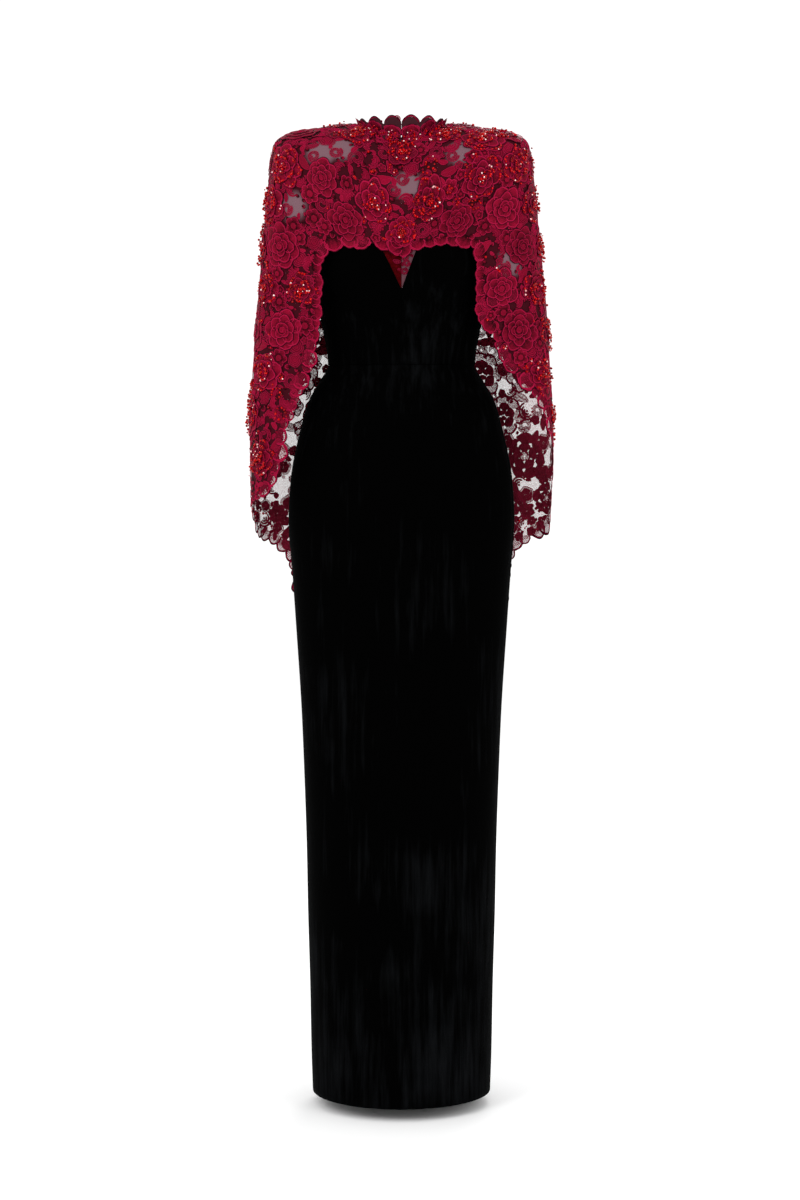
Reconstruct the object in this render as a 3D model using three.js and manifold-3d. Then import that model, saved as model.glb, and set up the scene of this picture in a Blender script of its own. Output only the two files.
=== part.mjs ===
// Evening gown: a strapless black velvet column gown with a V notch filled with lace and net, and over
// it a high-necked burgundy lace cape with squared shoulders, open in front below the chest.
// Millimetres, +Z up. The front faces -Y and the origin is at the middle of the waist seam.
import * as THREE from 'three';
import { mergeVertices } from 'three/addons/utils/BufferGeometryUtils.js';
import Module from 'manifold-3d';

const wasm = await Module();
wasm.setup();

// Driving sizes
const VELVET = 1.6;
const LACE = 1.4;
const NET = 1.2;
const SEAM = 0.3;
const WAIST_TO_HEM = 1152;
const NOTCH_POINT = 113;
const NOTCH_SLOPE = 0.379;
const ZIP_FOOT = -180;
const ZIP_HEAD = 166;
const ZIP_WIDTH = 2.4;
const ZIP_DEPTH = 1.9;
const CLEARANCE = 0.7;
const MEETING_ROUNDING = 3;
const RELEASE = { below: 6, slope: 1.2 };
const ROUND_SIDES = 14;
const SCALLOP = { pitch: 16, depth: 4, steps: 3 };
const LACE_GRID = { across: 20, down: 24 };
const ROSE = { radius: 27, height: 2.2, across: 74, down: 66, first: 96 };
const SLIT = { length: 125, top: 1.2, bulge: 8, above: 20, straight: 10, swells: 0.5, widest: 0.85 };
const BUTTON = { radius: 4.2, dome: 3.2, shank: 1.5, neck: 1, rim: 1.4, steps: 4, sides: 12, beside: 6 };
const PANEL_END = { front: -240, back: -515 };
const SLAB_MARGIN = 40;
const PLACKET_STEP = 4;

// Sections of the gown from the bodice's top to the hem: half width, depth in front of and behind the
// middle, and how square the section is
const BODY = [
  { z: 225, half: 139, front: 110, back: 86, power: 2.1 },
  { z: 190, half: 141, front: 116, back: 88, power: 2.1 },
  { z: 150, half: 138, front: 117, back: 89, power: 2.1 },
  { z: 100, half: 130, front: 108, back: 86, power: 2.1 },
  { z: 57, half: 121, front: 97, back: 82, power: 2.1 },
  { z: 0, half: 113, front: 88, back: 80, power: 2.1 },
  { z: -24, half: 126, front: 92, back: 90, power: 2.1 },
  { z: -55, half: 144, front: 97, back: 102, power: 2.15 },
  { z: -88, half: 154, front: 101, back: 112, power: 2.2 },
  { z: -120, half: 162, front: 104, back: 118, power: 2.2 },
  { z: -152, half: 169, front: 106, back: 122, power: 2.2 },
  { z: -185, half: 173.5, front: 108, back: 124, power: 2.2 },
  { z: -250, half: 176.5, front: 110, back: 124, power: 2.2 },
  { z: -322, half: 171, front: 113, back: 122, power: 2.2 },
  { z: -425, half: 164, front: 117, back: 121, power: 2.15 },
  { z: -536, half: 157, front: 121, back: 122, power: 2.1 },
  { z: -646, half: 152.5, front: 125, back: 125, power: 2.1 },
  { z: -757, half: 149, front: 129, back: 129, power: 2.05 },
  { z: -867, half: 147, front: 132, back: 132, power: 2 },
  { z: -978, half: 144, front: 135, back: 135, power: 2 },
  { z: -1089, half: 142, front: 138, back: 138, power: 2 },
  { z: -WAIST_TO_HEM, half: 140, front: 139, back: 139, power: 2 },
];

// The two cups of the bodice
const CUP = { angle: 36, spread: 22, z: 150, rise: 52, lift: 13 };

// Seams of the gown, as angles round from centre front
const PRINCESS_SEAM = [
  { z: 0, angle: 49 },
  { z: 60, angle: 46 },
  { z: 90, angle: 47 },
  { z: 128, angle: 58 },
  { z: 155, angle: 68 },
  { z: 190, angle: 76 },
  { z: 225, angle: 80 },
];
const SIDE_SEAM = { left: -87, right: 82 };

// Top edge of the bodice
const TOP_EDGE = [
  { angle: 0, z: 204 },
  { angle: 24, z: 216 },
  { angle: 50, z: 206 },
  { angle: 90, z: 188 },
  { angle: 130, z: 176 },
  { angle: 180, z: 172 },
];

// Sections of the cape from the neck down. Each has its own height at the side, front and back,
// because the squared shoulders stand higher than the chest.
const CAPE = [
  { name: 'neck', side: 374, front: 340, back: 372, half: 68, fore: 62, aft: 66, power: 2 },
  { name: 'collar bone', side: 371, front: 324, back: 363, half: 100, fore: 77, aft: 82, power: 2.1 },
  { name: 'shoulder', side: 364, front: 302, back: 344, half: 145, fore: 90, aft: 98, power: 2.3 },
  { name: 'shoulder tip', side: 356, front: 276, back: 318, half: 180, fore: 100, aft: 110, power: 2.6 },
  { name: 'shoulder corner', side: 346, front: 258, back: 300, half: 194, fore: 106, aft: 115, power: 2.8 },
  { name: 'sleeve head', side: 324, front: 240, back: 284, half: 200, fore: 110, aft: 118, power: 2.8 },
  { name: 'upper arm', side: 262, front: 205, back: 240, half: 208, fore: 113, aft: 123, power: 2.7 },
  { name: 'chest', side: 199, front: 170, back: 192, half: 214, fore: 112, aft: 126, power: 2.6 },
  { name: 'elbow', side: 104, front: 96, back: 104, half: 223, fore: 104, aft: 126, power: 2.5 },
  { name: 'waist', side: 0, front: 0, back: 0, half: 231, fore: 98, aft: 128, power: 2.4 },
  { name: 'forearm', side: -85, front: -85, back: -85, half: 236, fore: 98, aft: 134, power: 2.4 },
  { name: 'wrist', side: -180, front: -180, back: -180, half: 236, fore: 100, aft: 142, power: 2.3 },
  { name: 'hip', side: -300, front: -300, back: -300, half: 232, fore: 104, aft: 150, power: 2.2 },
  { name: 'back hem', side: -520, front: -520, back: -520, half: 214, fore: 110, aft: 153, power: 2.2 },
];

// Lower edge of the cape, round from the left side over the front to the right side and the back
const EDGE = [
  { angle: -90, z: -216 },
  { angle: -84, z: -208 },
  { angle: -75, z: -192 },
  { angle: -71, z: -160 },
  { angle: -68, z: -93 },
  { angle: -64, z: -38 },
  { angle: -59, z: 16 },
  { angle: -56, z: 62 },
  { angle: -54, z: 110 },
  { angle: -52.5, z: 158 },
  { angle: -47, z: 181 },
  { angle: -25, z: 184 },
  { angle: -8, z: 180 },
  { angle: 0, z: 171 },
  { angle: 8, z: 180 },
  { angle: 25, z: 185 },
  { angle: 46, z: 183 },
  { angle: 50.5, z: 160 },
  { angle: 51.5, z: 112 },
  { angle: 53, z: 72 },
  { angle: 59, z: 52 },
  { angle: 62, z: 25 },
  { angle: 66, z: 0 },
  { angle: 72, z: -32 },
  { angle: 77, z: -58 },
  { angle: 83, z: -106 },
  { angle: 90, z: -150 },
  { angle: 96, z: -205 },
  { angle: 102, z: -250 },
  { angle: 113, z: -279 },
  { angle: 119, z: -312 },
  { angle: 122, z: -368 },
  { angle: 127, z: -428 },
  { angle: 142, z: -474 },
  { angle: 160, z: -496 },
  { angle: 180, z: -502 },
  { angle: 200, z: -497 },
  { angle: 218, z: -476 },
  { angle: 233, z: -434 },
  { angle: 238, z: -376 },
  { angle: 241, z: -314 },
  { angle: 247, z: -280 },
  { angle: 258, z: -254 },
  { angle: 266, z: -226 },
  { angle: 270, z: -216 },
];

// Folds of the cape: where they lie, how wide they are and how far they stand out or sink in at the hem
const FOLDS = [
  { angle: -74, spread: 6, out: 5, starts: 160, full: -200 },
  { angle: -62, spread: 5, out: -5, starts: 120, full: -120 },
  { angle: 66, spread: 5, out: -5, starts: 180, full: -40 },
  { angle: 78, spread: 6, out: 5, starts: 160, full: -160 },
  { angle: 104, spread: 7, out: 8, starts: 200, full: -260 },
  { angle: 118, spread: 7, out: -12, starts: 180, full: -260 },
  { angle: 132, spread: 8, out: 11, starts: 160, full: -300 },
  { angle: 147, spread: 8, out: -10, starts: 200, full: -360 },
  { angle: 162, spread: 8, out: 12, starts: 220, full: -420 },
  { angle: 178, spread: 8, out: -9, starts: 180, full: -460 },
  { angle: 194, spread: 8, out: 11, starts: 220, full: -420 },
  { angle: 209, spread: 8, out: -10, starts: 200, full: -380 },
  { angle: 223, spread: 8, out: 12, starts: 160, full: -320 },
  { angle: 238, spread: 7, out: -11, starts: 190, full: -260 },
  { angle: 252, spread: 7, out: 9, starts: 200, full: -240 },
];

// The stand collar: height of its top edge, lean outwards and scallops
const COLLAR = { front: 365, side: 388, back: 398, lean: 3, opening: 0.6, scallops: 20, depth: 6 };
const COLLAR_FOOT = { inset: 1.6 * SEAM, sunk: 2 };
const SCALLOP_STEPS = 5;

const finishes = {
  velvet: { color: 0x060607, roughness: 0.9, metalness: 0 },
  lace: { color: 0x6e0c24, roughness: 0.75, metalness: 0 },
  net: { color: 0x780f22, roughness: 0.7, metalness: 0 },
  zip: { color: 0x101012, roughness: 0.5, metalness: 0.2 },
  metal: { color: 0x2a2a2c, roughness: 0.35, metalness: 0.9 },
  button: { color: 0x6e0c24, roughness: 0.55, metalness: 0 },
};

const radians = THREE.MathUtils.degToRad;

// A table's column between its rows, on a smooth curve through them
function between(rows, by, at, column) {
  const last = rows.length - 1;
  const way = Math.sign(rows[last][by] - rows[0][by]);
  let row = 0;
  while (row < last - 1 && (at - rows[row + 1][by]) * way > 0) row += 1;
  const slope = (k) => {
    const before = rows[Math.max(k - 1, 0)];
    const after = rows[Math.min(k + 1, last)];
    return (after[column] - before[column]) / (after[by] - before[by]);
  };
  const from = rows[row];
  const to = rows[row + 1];
  const span = to[by] - from[by];
  const t = THREE.MathUtils.clamp((at - from[by]) / span, 0, 1);
  const rest = 1 - t;
  const start = (1 + 2 * t) * rest * rest * from[column] + t * rest * rest * span * slope(row);
  const end = t * t * (3 - 2 * t) * to[column] - t * t * rest * span * slope(row + 1);
  return start + end;
}

// Distance from the middle to a section's edge, in a direction given as an angle from centre front
function reach(half, depth, power, angle) {
  const aside = Math.abs(Math.sin(angle)) / half;
  const ahead = Math.abs(Math.cos(angle)) / depth;
  return (aside ** power + ahead ** power) ** (-1 / power);
}

function around(radius, angle, z) {
  return new THREE.Vector3(radius * Math.sin(angle), -radius * Math.cos(angle), z);
}

// The larger of two lengths, rounded where they meet
function largerOf(a, b, rounding) {
  return (a + b + Math.hypot(a - b, rounding)) / 2;
}

// Closed geometry from points and triangles, with its faces turned outwards
function solid(points, triangles) {
  const volume = triangles.reduce((sum, [a, b, c]) => {
    return sum + points[a].dot(points[b].clone().cross(points[c]));
  }, 0);
  const faces = volume < 0 ? triangles.map(([a, b, c]) => [a, c, b]) : triangles;
  const geometry = new THREE.BufferGeometry();
  geometry.setAttribute('position', new THREE.Float32BufferAttribute(points.flatMap((p) => p.toArray()), 3));
  geometry.setIndex(faces.flat());
  geometry.computeVertexNormals();
  return geometry;
}

// A wall of cloth over a grid: outer and inner points, joined along the four edges. The inner side may
// take every second row only.
function clothWall(columns, rows, outer, inner, skip = 1) {
  const points = [];
  const triangles = [];
  for (let j = 0; j <= rows; j += 1) {
    for (let i = 0; i <= columns; i += 1) points.push(outer(i, j));
  }
  const inside = points.length;
  for (let j = 0; j <= rows; j += skip) {
    for (let i = 0; i <= columns; i += 1) points.push(inner(i, j));
  }
  const O = (i, j) => j * (columns + 1) + i;
  const I = (i, j) => inside + (j / skip) * (columns + 1) + i;
  for (let i = 0; i < columns; i += 1) {
    for (let j = 0; j < rows; j += 1) {
      triangles.push([O(i, j), O(i + 1, j), O(i + 1, j + 1)]);
      triangles.push([O(i, j), O(i + 1, j + 1), O(i, j + 1)]);
    }
    for (let j = 0; j < rows; j += skip) {
      triangles.push([I(i, j), I(i + 1, j + skip), I(i + 1, j)]);
      triangles.push([I(i, j), I(i, j + skip), I(i + 1, j + skip)]);
    }
    triangles.push([O(i + 1, 0), O(i, 0), I(i, 0)]);
    triangles.push([O(i + 1, 0), I(i, 0), I(i + 1, 0)]);
    triangles.push([O(i, rows), O(i + 1, rows), I(i, rows)]);
    triangles.push([O(i + 1, rows), I(i + 1, rows), I(i, rows)]);
  }
  for (let j = 0; j < rows; j += skip) {
    const middle = j + Math.ceil(skip / 2);
    for (const [i, turned] of [[0, false], [columns, true]]) {
      const rim = [[O(i, middle), I(i, j + skip), I(i, j)]];
      for (let k = j; k < j + skip; k += 1) {
        rim.push([O(i, k), O(i, k + 1), I(i, k < middle ? j : j + skip)]);
      }
      triangles.push(...rim.map(([a, b, c]) => (turned ? [a, c, b] : [a, b, c])));
    }
  }
  return solid(points, triangles);
}

// The gown's surface on a general figure, and a point moved level out of it
function bodyReach(angle, z) {
  const depth = Math.cos(angle) > 0 ? 'front' : 'back';
  const size = (column) => between(BODY, 'z', z, column);
  const turn = Math.abs(Math.atan2(Math.sin(angle), Math.cos(angle)));
  const aside = (THREE.MathUtils.radToDeg(turn) - CUP.angle) / CUP.spread;
  const above = (z - CUP.z) / CUP.rise;
  const cup = CUP.lift * Math.exp(-aside * aside - above * above);
  return reach(size('half'), size(depth), size('power'), angle) + cup;
}

function bodyPoint(angle, z, lift = 0) {
  const step = 0.01;
  const here = around(bodyReach(angle, z), angle, z);
  if (lift === 0) return here;
  const before = around(bodyReach(angle - step, z), angle - step, z);
  const after = around(bodyReach(angle + step, z), angle + step, z);
  const along = after.sub(before);
  return here.add(new THREE.Vector3(along.y, -along.x, 0).normalize().multiplyScalar(lift));
}

// Angle at which a point of the gown lies a given distance to the side of centre front or back
function angleAside(distance, z, centre) {
  return Math.asin(distance / bodyReach(centre, z));
}

function notchHalf(z) {
  return Math.max(0, z - NOTCH_POINT) * NOTCH_SLOPE;
}

function topEdge(angle) {
  const turn = Math.abs(Math.atan2(Math.sin(angle), Math.cos(angle)));
  return between(TOP_EDGE, 'angle', THREE.MathUtils.radToDeg(turn), 'z');
}

// Seam lines of the gown for one side, as functions of the height
function seams(sign) {
  const side = sign < 0 ? SIDE_SEAM.left : SIDE_SEAM.right;
  const backEdge = (z) => (z > ZIP_FOOT - 1 ? ZIP_WIDTH / 2 + SEAM : SEAM / 2);
  return {
    centreFront: (z) => sign * angleAside(SEAM / 2 + notchHalf(z), z, 0),
    princess: (z) => sign * radians(between(PRINCESS_SEAM, 'z', z, 'angle')),
    side: () => radians(side),
    centreBack: (z) => sign * (Math.PI - angleAside(backEdge(z), z, Math.PI)),
  };
}

// A velvet panel between two seam lines, each set back by half a seam's width
function velvetPanel(columns, heights, from, to) {
  const rows = heights.length - 1;
  const place = (i, j, lift) => {
    const share = i / columns;
    const z = heights[j](share);
    const start = from(z);
    const end = to(z);
    return bodyPoint(start + (end - start) * share, z, lift);
  };
  return clothWall(columns, rows, (i, j) => place(i, j, VELVET), (i, j) => place(i, j, 0));
}

// Half a seam's width, as an angle on the body
function setBack(line, sign) {
  return (z) => line(z) + (sign * SEAM) / 2 / bodyReach(line(z), z);
}

function bodiceHeights(from, to) {
  const steps = 5;
  const middle = NOTCH_POINT;
  const top = (share) => {
    const guess = BODY[1].z;
    return topEdge(from(guess) + (to(guess) - from(guess)) * share);
  };
  const heights = [];
  for (let j = 0; j <= steps; j += 1) {
    heights.push(() => SEAM / 2 + ((middle - SEAM / 2) * j) / steps);
  }
  for (let j = 1; j <= steps; j += 1) {
    heights.push((share) => middle + ((top(share) - middle) * j) / steps);
  }
  return heights;
}

function bodicePanels(sign) {
  const line = seams(sign);
  const panels = [
    { piece: 'front', from: line.centreFront, to: setBack(line.princess, -sign), columns: 6 },
    { piece: 'side', from: setBack(line.princess, sign), to: setBack(line.side, -sign), columns: 4 },
    { piece: 'back', from: setBack(line.side, sign), to: line.centreBack, columns: 8 },
  ];
  return panels.map(({ piece, from, to, columns }) => {
    const geometry = velvetPanel(columns, bodiceHeights(from, to), from, to);
    return [`bodice_${piece}`, geometry];
  });
}

const skirtLevels = BODY.filter((row) => row.z < 0).map((row) => row.z);
const skirtHeights = [-SEAM / 2, ...skirtLevels.filter((z) => z > ZIP_FOOT), ZIP_FOOT, ZIP_FOOT - PLACKET_STEP]
  .concat(skirtLevels.filter((z) => z < ZIP_FOOT - 2 * PLACKET_STEP))
  .map((z) => () => z);

function skirtFront() {
  const from = setBack(seams(-1).side, 1);
  const to = setBack(seams(1).side, -1);
  return velvetPanel(20, skirtHeights, from, to);
}

function skirtBack(sign) {
  const line = seams(sign);
  return velvetPanel(10, skirtHeights, setBack(line.side, sign), line.centreBack);
}

// Half of the lace and net in the V notch
function notchInsert(sign) {
  const columns = 3;
  const rows = 6;
  const foot = NOTCH_POINT + 3;
  const place = (i, j, lift) => {
    const z = foot + ((topEdge(0) - foot) * j) / rows;
    const width = notchHalf(z) - SEAM;
    const aside = SEAM / 2 + ((width - SEAM / 2) * i) / columns;
    return bodyPoint(sign * angleAside(aside, z, 0), z, lift);
  };
  return clothWall(columns, rows, (i, j) => place(i, j, NET), (i, j) => place(i, j, 0));
}

// Closed zip chain, from the top of the skirt's placket to the top of the bodice
function zipChain() {
  const rows = 16;
  const place = (i, j, lift) => {
    const z = ZIP_FOOT + SEAM + ((ZIP_HEAD - ZIP_FOOT) * j) / rows;
    const aside = (i - 0.5) * ZIP_WIDTH;
    return bodyPoint(Math.PI + angleAside(aside, z, Math.PI), z, lift);
  };
  return clothWall(1, rows, (i, j) => place(i, j, ZIP_DEPTH), (i, j) => place(i, j, 0));
}

function asManifold(geometry) {
  const bare = geometry.clone();
  bare.deleteAttribute('normal');
  bare.deleteAttribute('uv');
  const merged = mergeVertices(bare, 1e-4);
  const vertProperties = new Float32Array(merged.attributes.position.array);
  const triVerts = new Uint32Array(merged.index.array);
  return new wasm.Manifold(new wasm.Mesh({ numProp: 3, vertProperties, triVerts }));
}

// A manifold's points and triangles, as a solid whose points are moved by a function
function fromManifold(shape, move = (point) => point) {
  const { vertProperties, triVerts } = shape.getMesh();
  const points = [];
  for (let k = 0; k < vertProperties.length; k += 3) {
    points.push(move(new THREE.Vector3(vertProperties[k], vertProperties[k + 1], vertProperties[k + 2])));
  }
  const triangles = [];
  for (let k = 0; k < triVerts.length; k += 3) {
    triangles.push([triVerts[k], triVerts[k + 1], triVerts[k + 2]]);
  }
  return solid(points, triangles);
}

function cylinderAcross(radius, length, at) {
  const geometry = new THREE.CylinderGeometry(radius, radius, length, ROUND_SIDES);
  geometry.rotateZ(Math.PI / 2);
  return geometry.translate(...at);
}

function blockAt(width, depth, height, at) {
  return new THREE.BoxGeometry(width, depth, height).translate(...at);
}

// Slider and pull of the zip. The pull turns on a cross pin between the slider's two ears.
const SLIDER = { width: 6.4, depth: 2.2, height: 9, ear: 1, earDepth: 4.4, earHeight: 2.6, apart: 4.4 };
const PULL = { z: 158, pin: 0.6, bore: 0.95, eye: 1.9, plate: 1, length: 20, width: 5, neck: 2.8, stand: 5 };
const pullSeat = Math.abs(bodyPoint(Math.PI, PULL.z, ZIP_DEPTH).y);
const pullAxis = { y: pullSeat + SEAM + PULL.stand, z: PULL.z };

function zipSlider() {
  const { y, z } = pullAxis;
  const { width, depth, height, ear, earDepth, earHeight, apart } = SLIDER;
  const shell = blockAt(width, depth, height, [0, pullSeat + SEAM + depth / 2, z - ear]);
  const ears = [-apart / 2, apart / 2].map((x) => blockAt(ear, earDepth, earHeight, [x, y - ear, z]));
  const pin = cylinderAcross(PULL.pin, apart, [0, y, z]);
  return [...ears, pin].reduce((all, piece) => all.add(asManifold(piece)), asManifold(shell));
}

function zipPull() {
  const { y, z } = pullAxis;
  const eye = cylinderAcross(PULL.eye, PULL.neck, [0, y, z]);
  const shoulder = 1.8 * PULL.eye;
  const neck = blockAt(PULL.neck, PULL.plate, shoulder, [0, y, z - 0.7 * shoulder]);
  const outline = new THREE.Shape();
  const low = PULL.width / 2;
  outline.moveTo(-PULL.neck / 2, -shoulder);
  outline.lineTo(PULL.neck / 2, -shoulder);
  outline.lineTo(low, -PULL.length + low);
  outline.absarc(0, -PULL.length + low, low, 0, -Math.PI, true);
  outline.closePath();
  const tab = new THREE.ExtrudeGeometry(outline, { depth: PULL.plate, bevelEnabled: false, curveSegments: 5 });
  tab.rotateX(Math.PI / 2).translate(0, y + PULL.plate / 2, z);
  const bore = cylinderAcross(PULL.bore, 2 * PULL.neck, [0, y, z]);
  return asManifold(eye).add(asManifold(neck)).add(asManifold(tab)).subtract(asManifold(bore));
}

// The cape is drafted flat and draped. Across, the flat lace measures round the section at the waist;
// down, it measures from the neck along the shoulder and the outside of the arm.
const drafted = CAPE.find((row) => row.name === 'waist');
const draftSteps = 180;
const draftArc = [0];
for (let k = 1; k <= draftSteps; k += 1) {
  const corners = [k - 1, k].map((step) => {
    const angle = (Math.PI * step) / draftSteps;
    const depth = Math.cos(angle) > 0 ? drafted.fore : drafted.aft;
    return around(reach(drafted.half, depth, drafted.power, angle), angle, 0);
  });
  draftArc.push(draftArc[k - 1] + corners[0].distanceTo(corners[1]));
}
const halfRound = draftArc[draftSteps];

function acrossAt(degrees) {
  if (degrees < 0) return -acrossAt(-degrees);
  if (degrees > 180) return 2 * halfRound - acrossAt(360 - degrees);
  const step = Math.min(Math.floor(degrees), draftSteps - 1);
  return draftArc[step] + (draftArc[step + 1] - draftArc[step]) * (degrees - step);
}

function degreesAt(across) {
  if (across < 0) return -degreesAt(-across);
  if (across > halfRound) return 360 - degreesAt(2 * halfRound - across);
  let step = 0;
  while (step < draftSteps - 1 && draftArc[step + 1] < across) step += 1;
  return step + (across - draftArc[step]) / (draftArc[step + 1] - draftArc[step]);
}

CAPE.forEach((row, k) => {
  const above = CAPE[Math.max(k - 1, 0)];
  row.down = k === 0 ? 0 : above.down + Math.hypot(row.half - above.half, row.side - above.side);
});
const capeLength = CAPE.at(-1).down;

function capeHeight(angle, down) {
  const share = Math.sin(angle) ** 2;
  const centre = Math.cos(angle) > 0 ? 'front' : 'back';
  return between(CAPE, 'down', down, 'side') * share + between(CAPE, 'down', down, centre) * (1 - share);
}

function downAt(degrees, z) {
  let high = 0;
  let low = capeLength;
  for (let k = 0; k < 30; k += 1) {
    const middle = (high + low) / 2;
    if (capeHeight(radians(degrees), middle) > z) high = middle;
    else low = middle;
  }
  return low;
}

function foldAt(degrees, z) {
  return FOLDS.reduce((sum, fold) => {
    const turn = degrees > 270 ? degrees - 360 : degrees;
    const aside = (turn - fold.angle) / fold.spread;
    const grown = THREE.MathUtils.smoothstep(-z, -fold.starts, -fold.full);
    return sum + fold.out * Math.exp(-aside * aside) * grown;
  }, 0);
}

function capePoint(across, down) {
  const degrees = degreesAt(across);
  const angle = radians(degrees);
  const size = (column) => between(CAPE, 'down', down, column);
  const z = capeHeight(angle, down);
  const depth = size(Math.cos(angle) > 0 ? 'fore' : 'aft');
  const free = reach(size('half'), depth, size('power'), angle) + foldAt(degrees, z);
  const overBodice = Math.max(0, z - topEdge(angle) - RELEASE.below) * RELEASE.slope;
  const held = bodyReach(angle, z) + VELVET + CLEARANCE - overBodice;
  return around(largerOf(free, held, MEETING_ROUNDING), angle, z);
}

// A point of the cape, moved out of its inner surface
function lacePoint(across, down, lift) {
  const here = capePoint(across, down);
  if (lift === 0) return here;
  const step = 1;
  const along = capePoint(across + step, down).sub(capePoint(across - step, down));
  const up = capePoint(across, Math.max(down - step, 0)).sub(capePoint(across, down + step));
  return here.add(along.cross(up).normalize().multiplyScalar(lift));
}

// Raised roses of the lace, in a half-drop layout on the flat cloth
function roseRelief(across, down) {
  const row = Math.round((down - ROSE.first) / ROSE.down);
  let height = 0;
  for (let near = Math.max(row - 1, 0); near <= row + 1; near += 1) {
    const shift = near % 2 === 0 ? 0 : ROSE.across / 2;
    const centre = Math.round((across - shift) / ROSE.across) * ROSE.across + shift;
    const away = Math.hypot(across - centre, down - ROSE.first - near * ROSE.down) / ROSE.radius;
    height = Math.max(height, ROSE.height * (1 - Math.min(away, 1) ** 2));
  }
  return height;
}

// The cape's lower edge on the flat lace, with its scallops
function scallopedEdge() {
  const rows = EDGE.map((row) => new THREE.Vector2(acrossAt(row.angle), downAt(row.angle, row.z)));
  const curve = new THREE.SplineCurve(rows);
  curve.arcLengthDivisions = 1200;
  const count = Math.round(curve.getLength() / SCALLOP.pitch);
  const points = [];
  for (let k = 0; k <= count * SCALLOP.steps; k += 1) {
    const share = k / (count * SCALLOP.steps);
    const bulge = SCALLOP.depth * Math.sin((Math.PI * (k % SCALLOP.steps)) / SCALLOP.steps);
    const along = curve.getTangentAt(share);
    points.push(curve.getPointAt(share).add(new THREE.Vector2(-along.y, along.x).multiplyScalar(bulge)));
  }
  return points;
}

function flatCutter(points) {
  const slab = new THREE.ExtrudeGeometry(new THREE.Shape(points), { depth: 3 * LACE, bevelEnabled: false });
  return asManifold(slab.translate(0, 0, -LACE));
}

const laceEdge = scallopedEdge();
const edgeEnds = [laceEdge[0], laceEdge.at(-1)];
const insideEdge = flatCutter([
  ...laceEdge,
  new THREE.Vector2(edgeEnds[1].x + SLAB_MARGIN, edgeEnds[1].y),
  new THREE.Vector2(edgeEnds[1].x + SLAB_MARGIN, -SLAB_MARGIN),
  new THREE.Vector2(edgeEnds[0].x - SLAB_MARGIN, -SLAB_MARGIN),
  new THREE.Vector2(edgeEnds[0].x - SLAB_MARGIN, edgeEnds[0].y),
]);

// A panel of lace between two angles: laid flat, cut along the edge and then draped
function lacePanel(fromAngle, toAngle, longest, openings = []) {
  const left = acrossAt(fromAngle) + SEAM;
  const right = acrossAt(toAngle) - SEAM;
  const columns = Math.round((right - left) / LACE_GRID.across);
  const rows = 2 * Math.round(longest / LACE_GRID.down / 2);
  const flat = (i, j, t) => {
    return new THREE.Vector3(left + ((right - left) * i) / columns, (longest * j) / rows, t);
  };
  const sheet = clothWall(columns, rows, (i, j) => flat(i, j, LACE), (i, j) => flat(i, j, 0), 2);
  const whole = asManifold(sheet).intersect(insideEdge);
  const cut = openings.reduce((panel, opening) => panel.subtract(opening), whole);
  return fromManifold(cut, ({ x, y, z }) => {
    const lift = z > LACE / 2 ? LACE + roseRelief(x, y) : 0;
    return lacePoint(x, y, lift);
  });
}

// Opening at the top of the centre-back seam, a drop that is narrow at the neck
function neckSlit() {
  const outline = new THREE.Shape();
  const { length, top, bulge, above, straight } = SLIT;
  const swells = SLIT.swells * length;
  const widest = SLIT.widest * length;
  outline.moveTo(-top, -above);
  outline.lineTo(top, -above);
  outline.lineTo(top, straight);
  outline.bezierCurveTo(top, swells, bulge, swells, bulge, widest);
  outline.bezierCurveTo(bulge, length, 0, length, 0, length);
  outline.bezierCurveTo(0, length, -bulge, length, -bulge, widest);
  outline.bezierCurveTo(-bulge, swells, -top, swells, -top, straight);
  const points = outline.getPoints(5).map((p) => new THREE.Vector2(p.x + halfRound, p.y));
  return flatCutter(points);
}

// The stand collar, inside the cape's neck edge, open at centre back
function collarPoint(turn, share, lift) {
  const degrees = turn - 360 * Math.floor((turn + 90) / 360);
  const neck = capePoint(acrossAt(degrees), 0);
  const side = Math.sin(radians(turn)) ** 2;
  const centre = Math.cos(radians(turn)) > 0 ? COLLAR.front : COLLAR.back;
  const wave = COLLAR.depth * Math.abs(Math.sin((Math.PI * COLLAR.scallops * (turn - 180)) / 360));
  const top = COLLAR.side * side + centre * (1 - side) + wave - COLLAR.depth;
  const foot = neck.z - COLLAR_FOOT.sunk;
  const lean = COLLAR.lean * Math.max(0, share - 1 / 3) * 1.5;
  const radius = Math.hypot(neck.x, neck.y) - COLLAR_FOOT.inset - LACE + lean + lift;
  return around(radius, radians(turn), foot + (top - foot) * share);
}

function collar() {
  const columns = COLLAR.scallops * SCALLOP_STEPS;
  const shares = [0, 1 / 3, 1];
  const place = (i, j, lift) => {
    const turn = 180 + COLLAR.opening / 2 + ((360 - COLLAR.opening) * i) / columns;
    return collarPoint(turn, shares[j], lift);
  };
  return clothWall(columns, 2, (i, j) => place(i, j, LACE), (i, j) => place(i, j, 0));
}

// A covered button on the back of the collar
function collarButton(share) {
  const { radius, dome, shank, neck, rim, steps, sides } = BUTTON;
  const seat = collarPoint(180 + BUTTON.beside, share, LACE + 2 * SEAM);
  const profile = [new THREE.Vector2(0, 0), new THREE.Vector2(shank, 0)];
  profile.push(new THREE.Vector2(shank, neck), new THREE.Vector2(radius, neck));
  for (let k = 0; k < steps; k += 1) {
    const turn = (Math.PI / 2) * (k / steps);
    profile.push(new THREE.Vector2(radius * Math.cos(turn), rim + dome * Math.sin(turn)));
  }
  profile.push(new THREE.Vector2(0, rim + dome));
  const button = new THREE.LatheGeometry(profile, sides);
  button.rotateZ(radians(BUTTON.beside));
  return button.translate(...seat.toArray());
}

const group = new THREE.Group();

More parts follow.
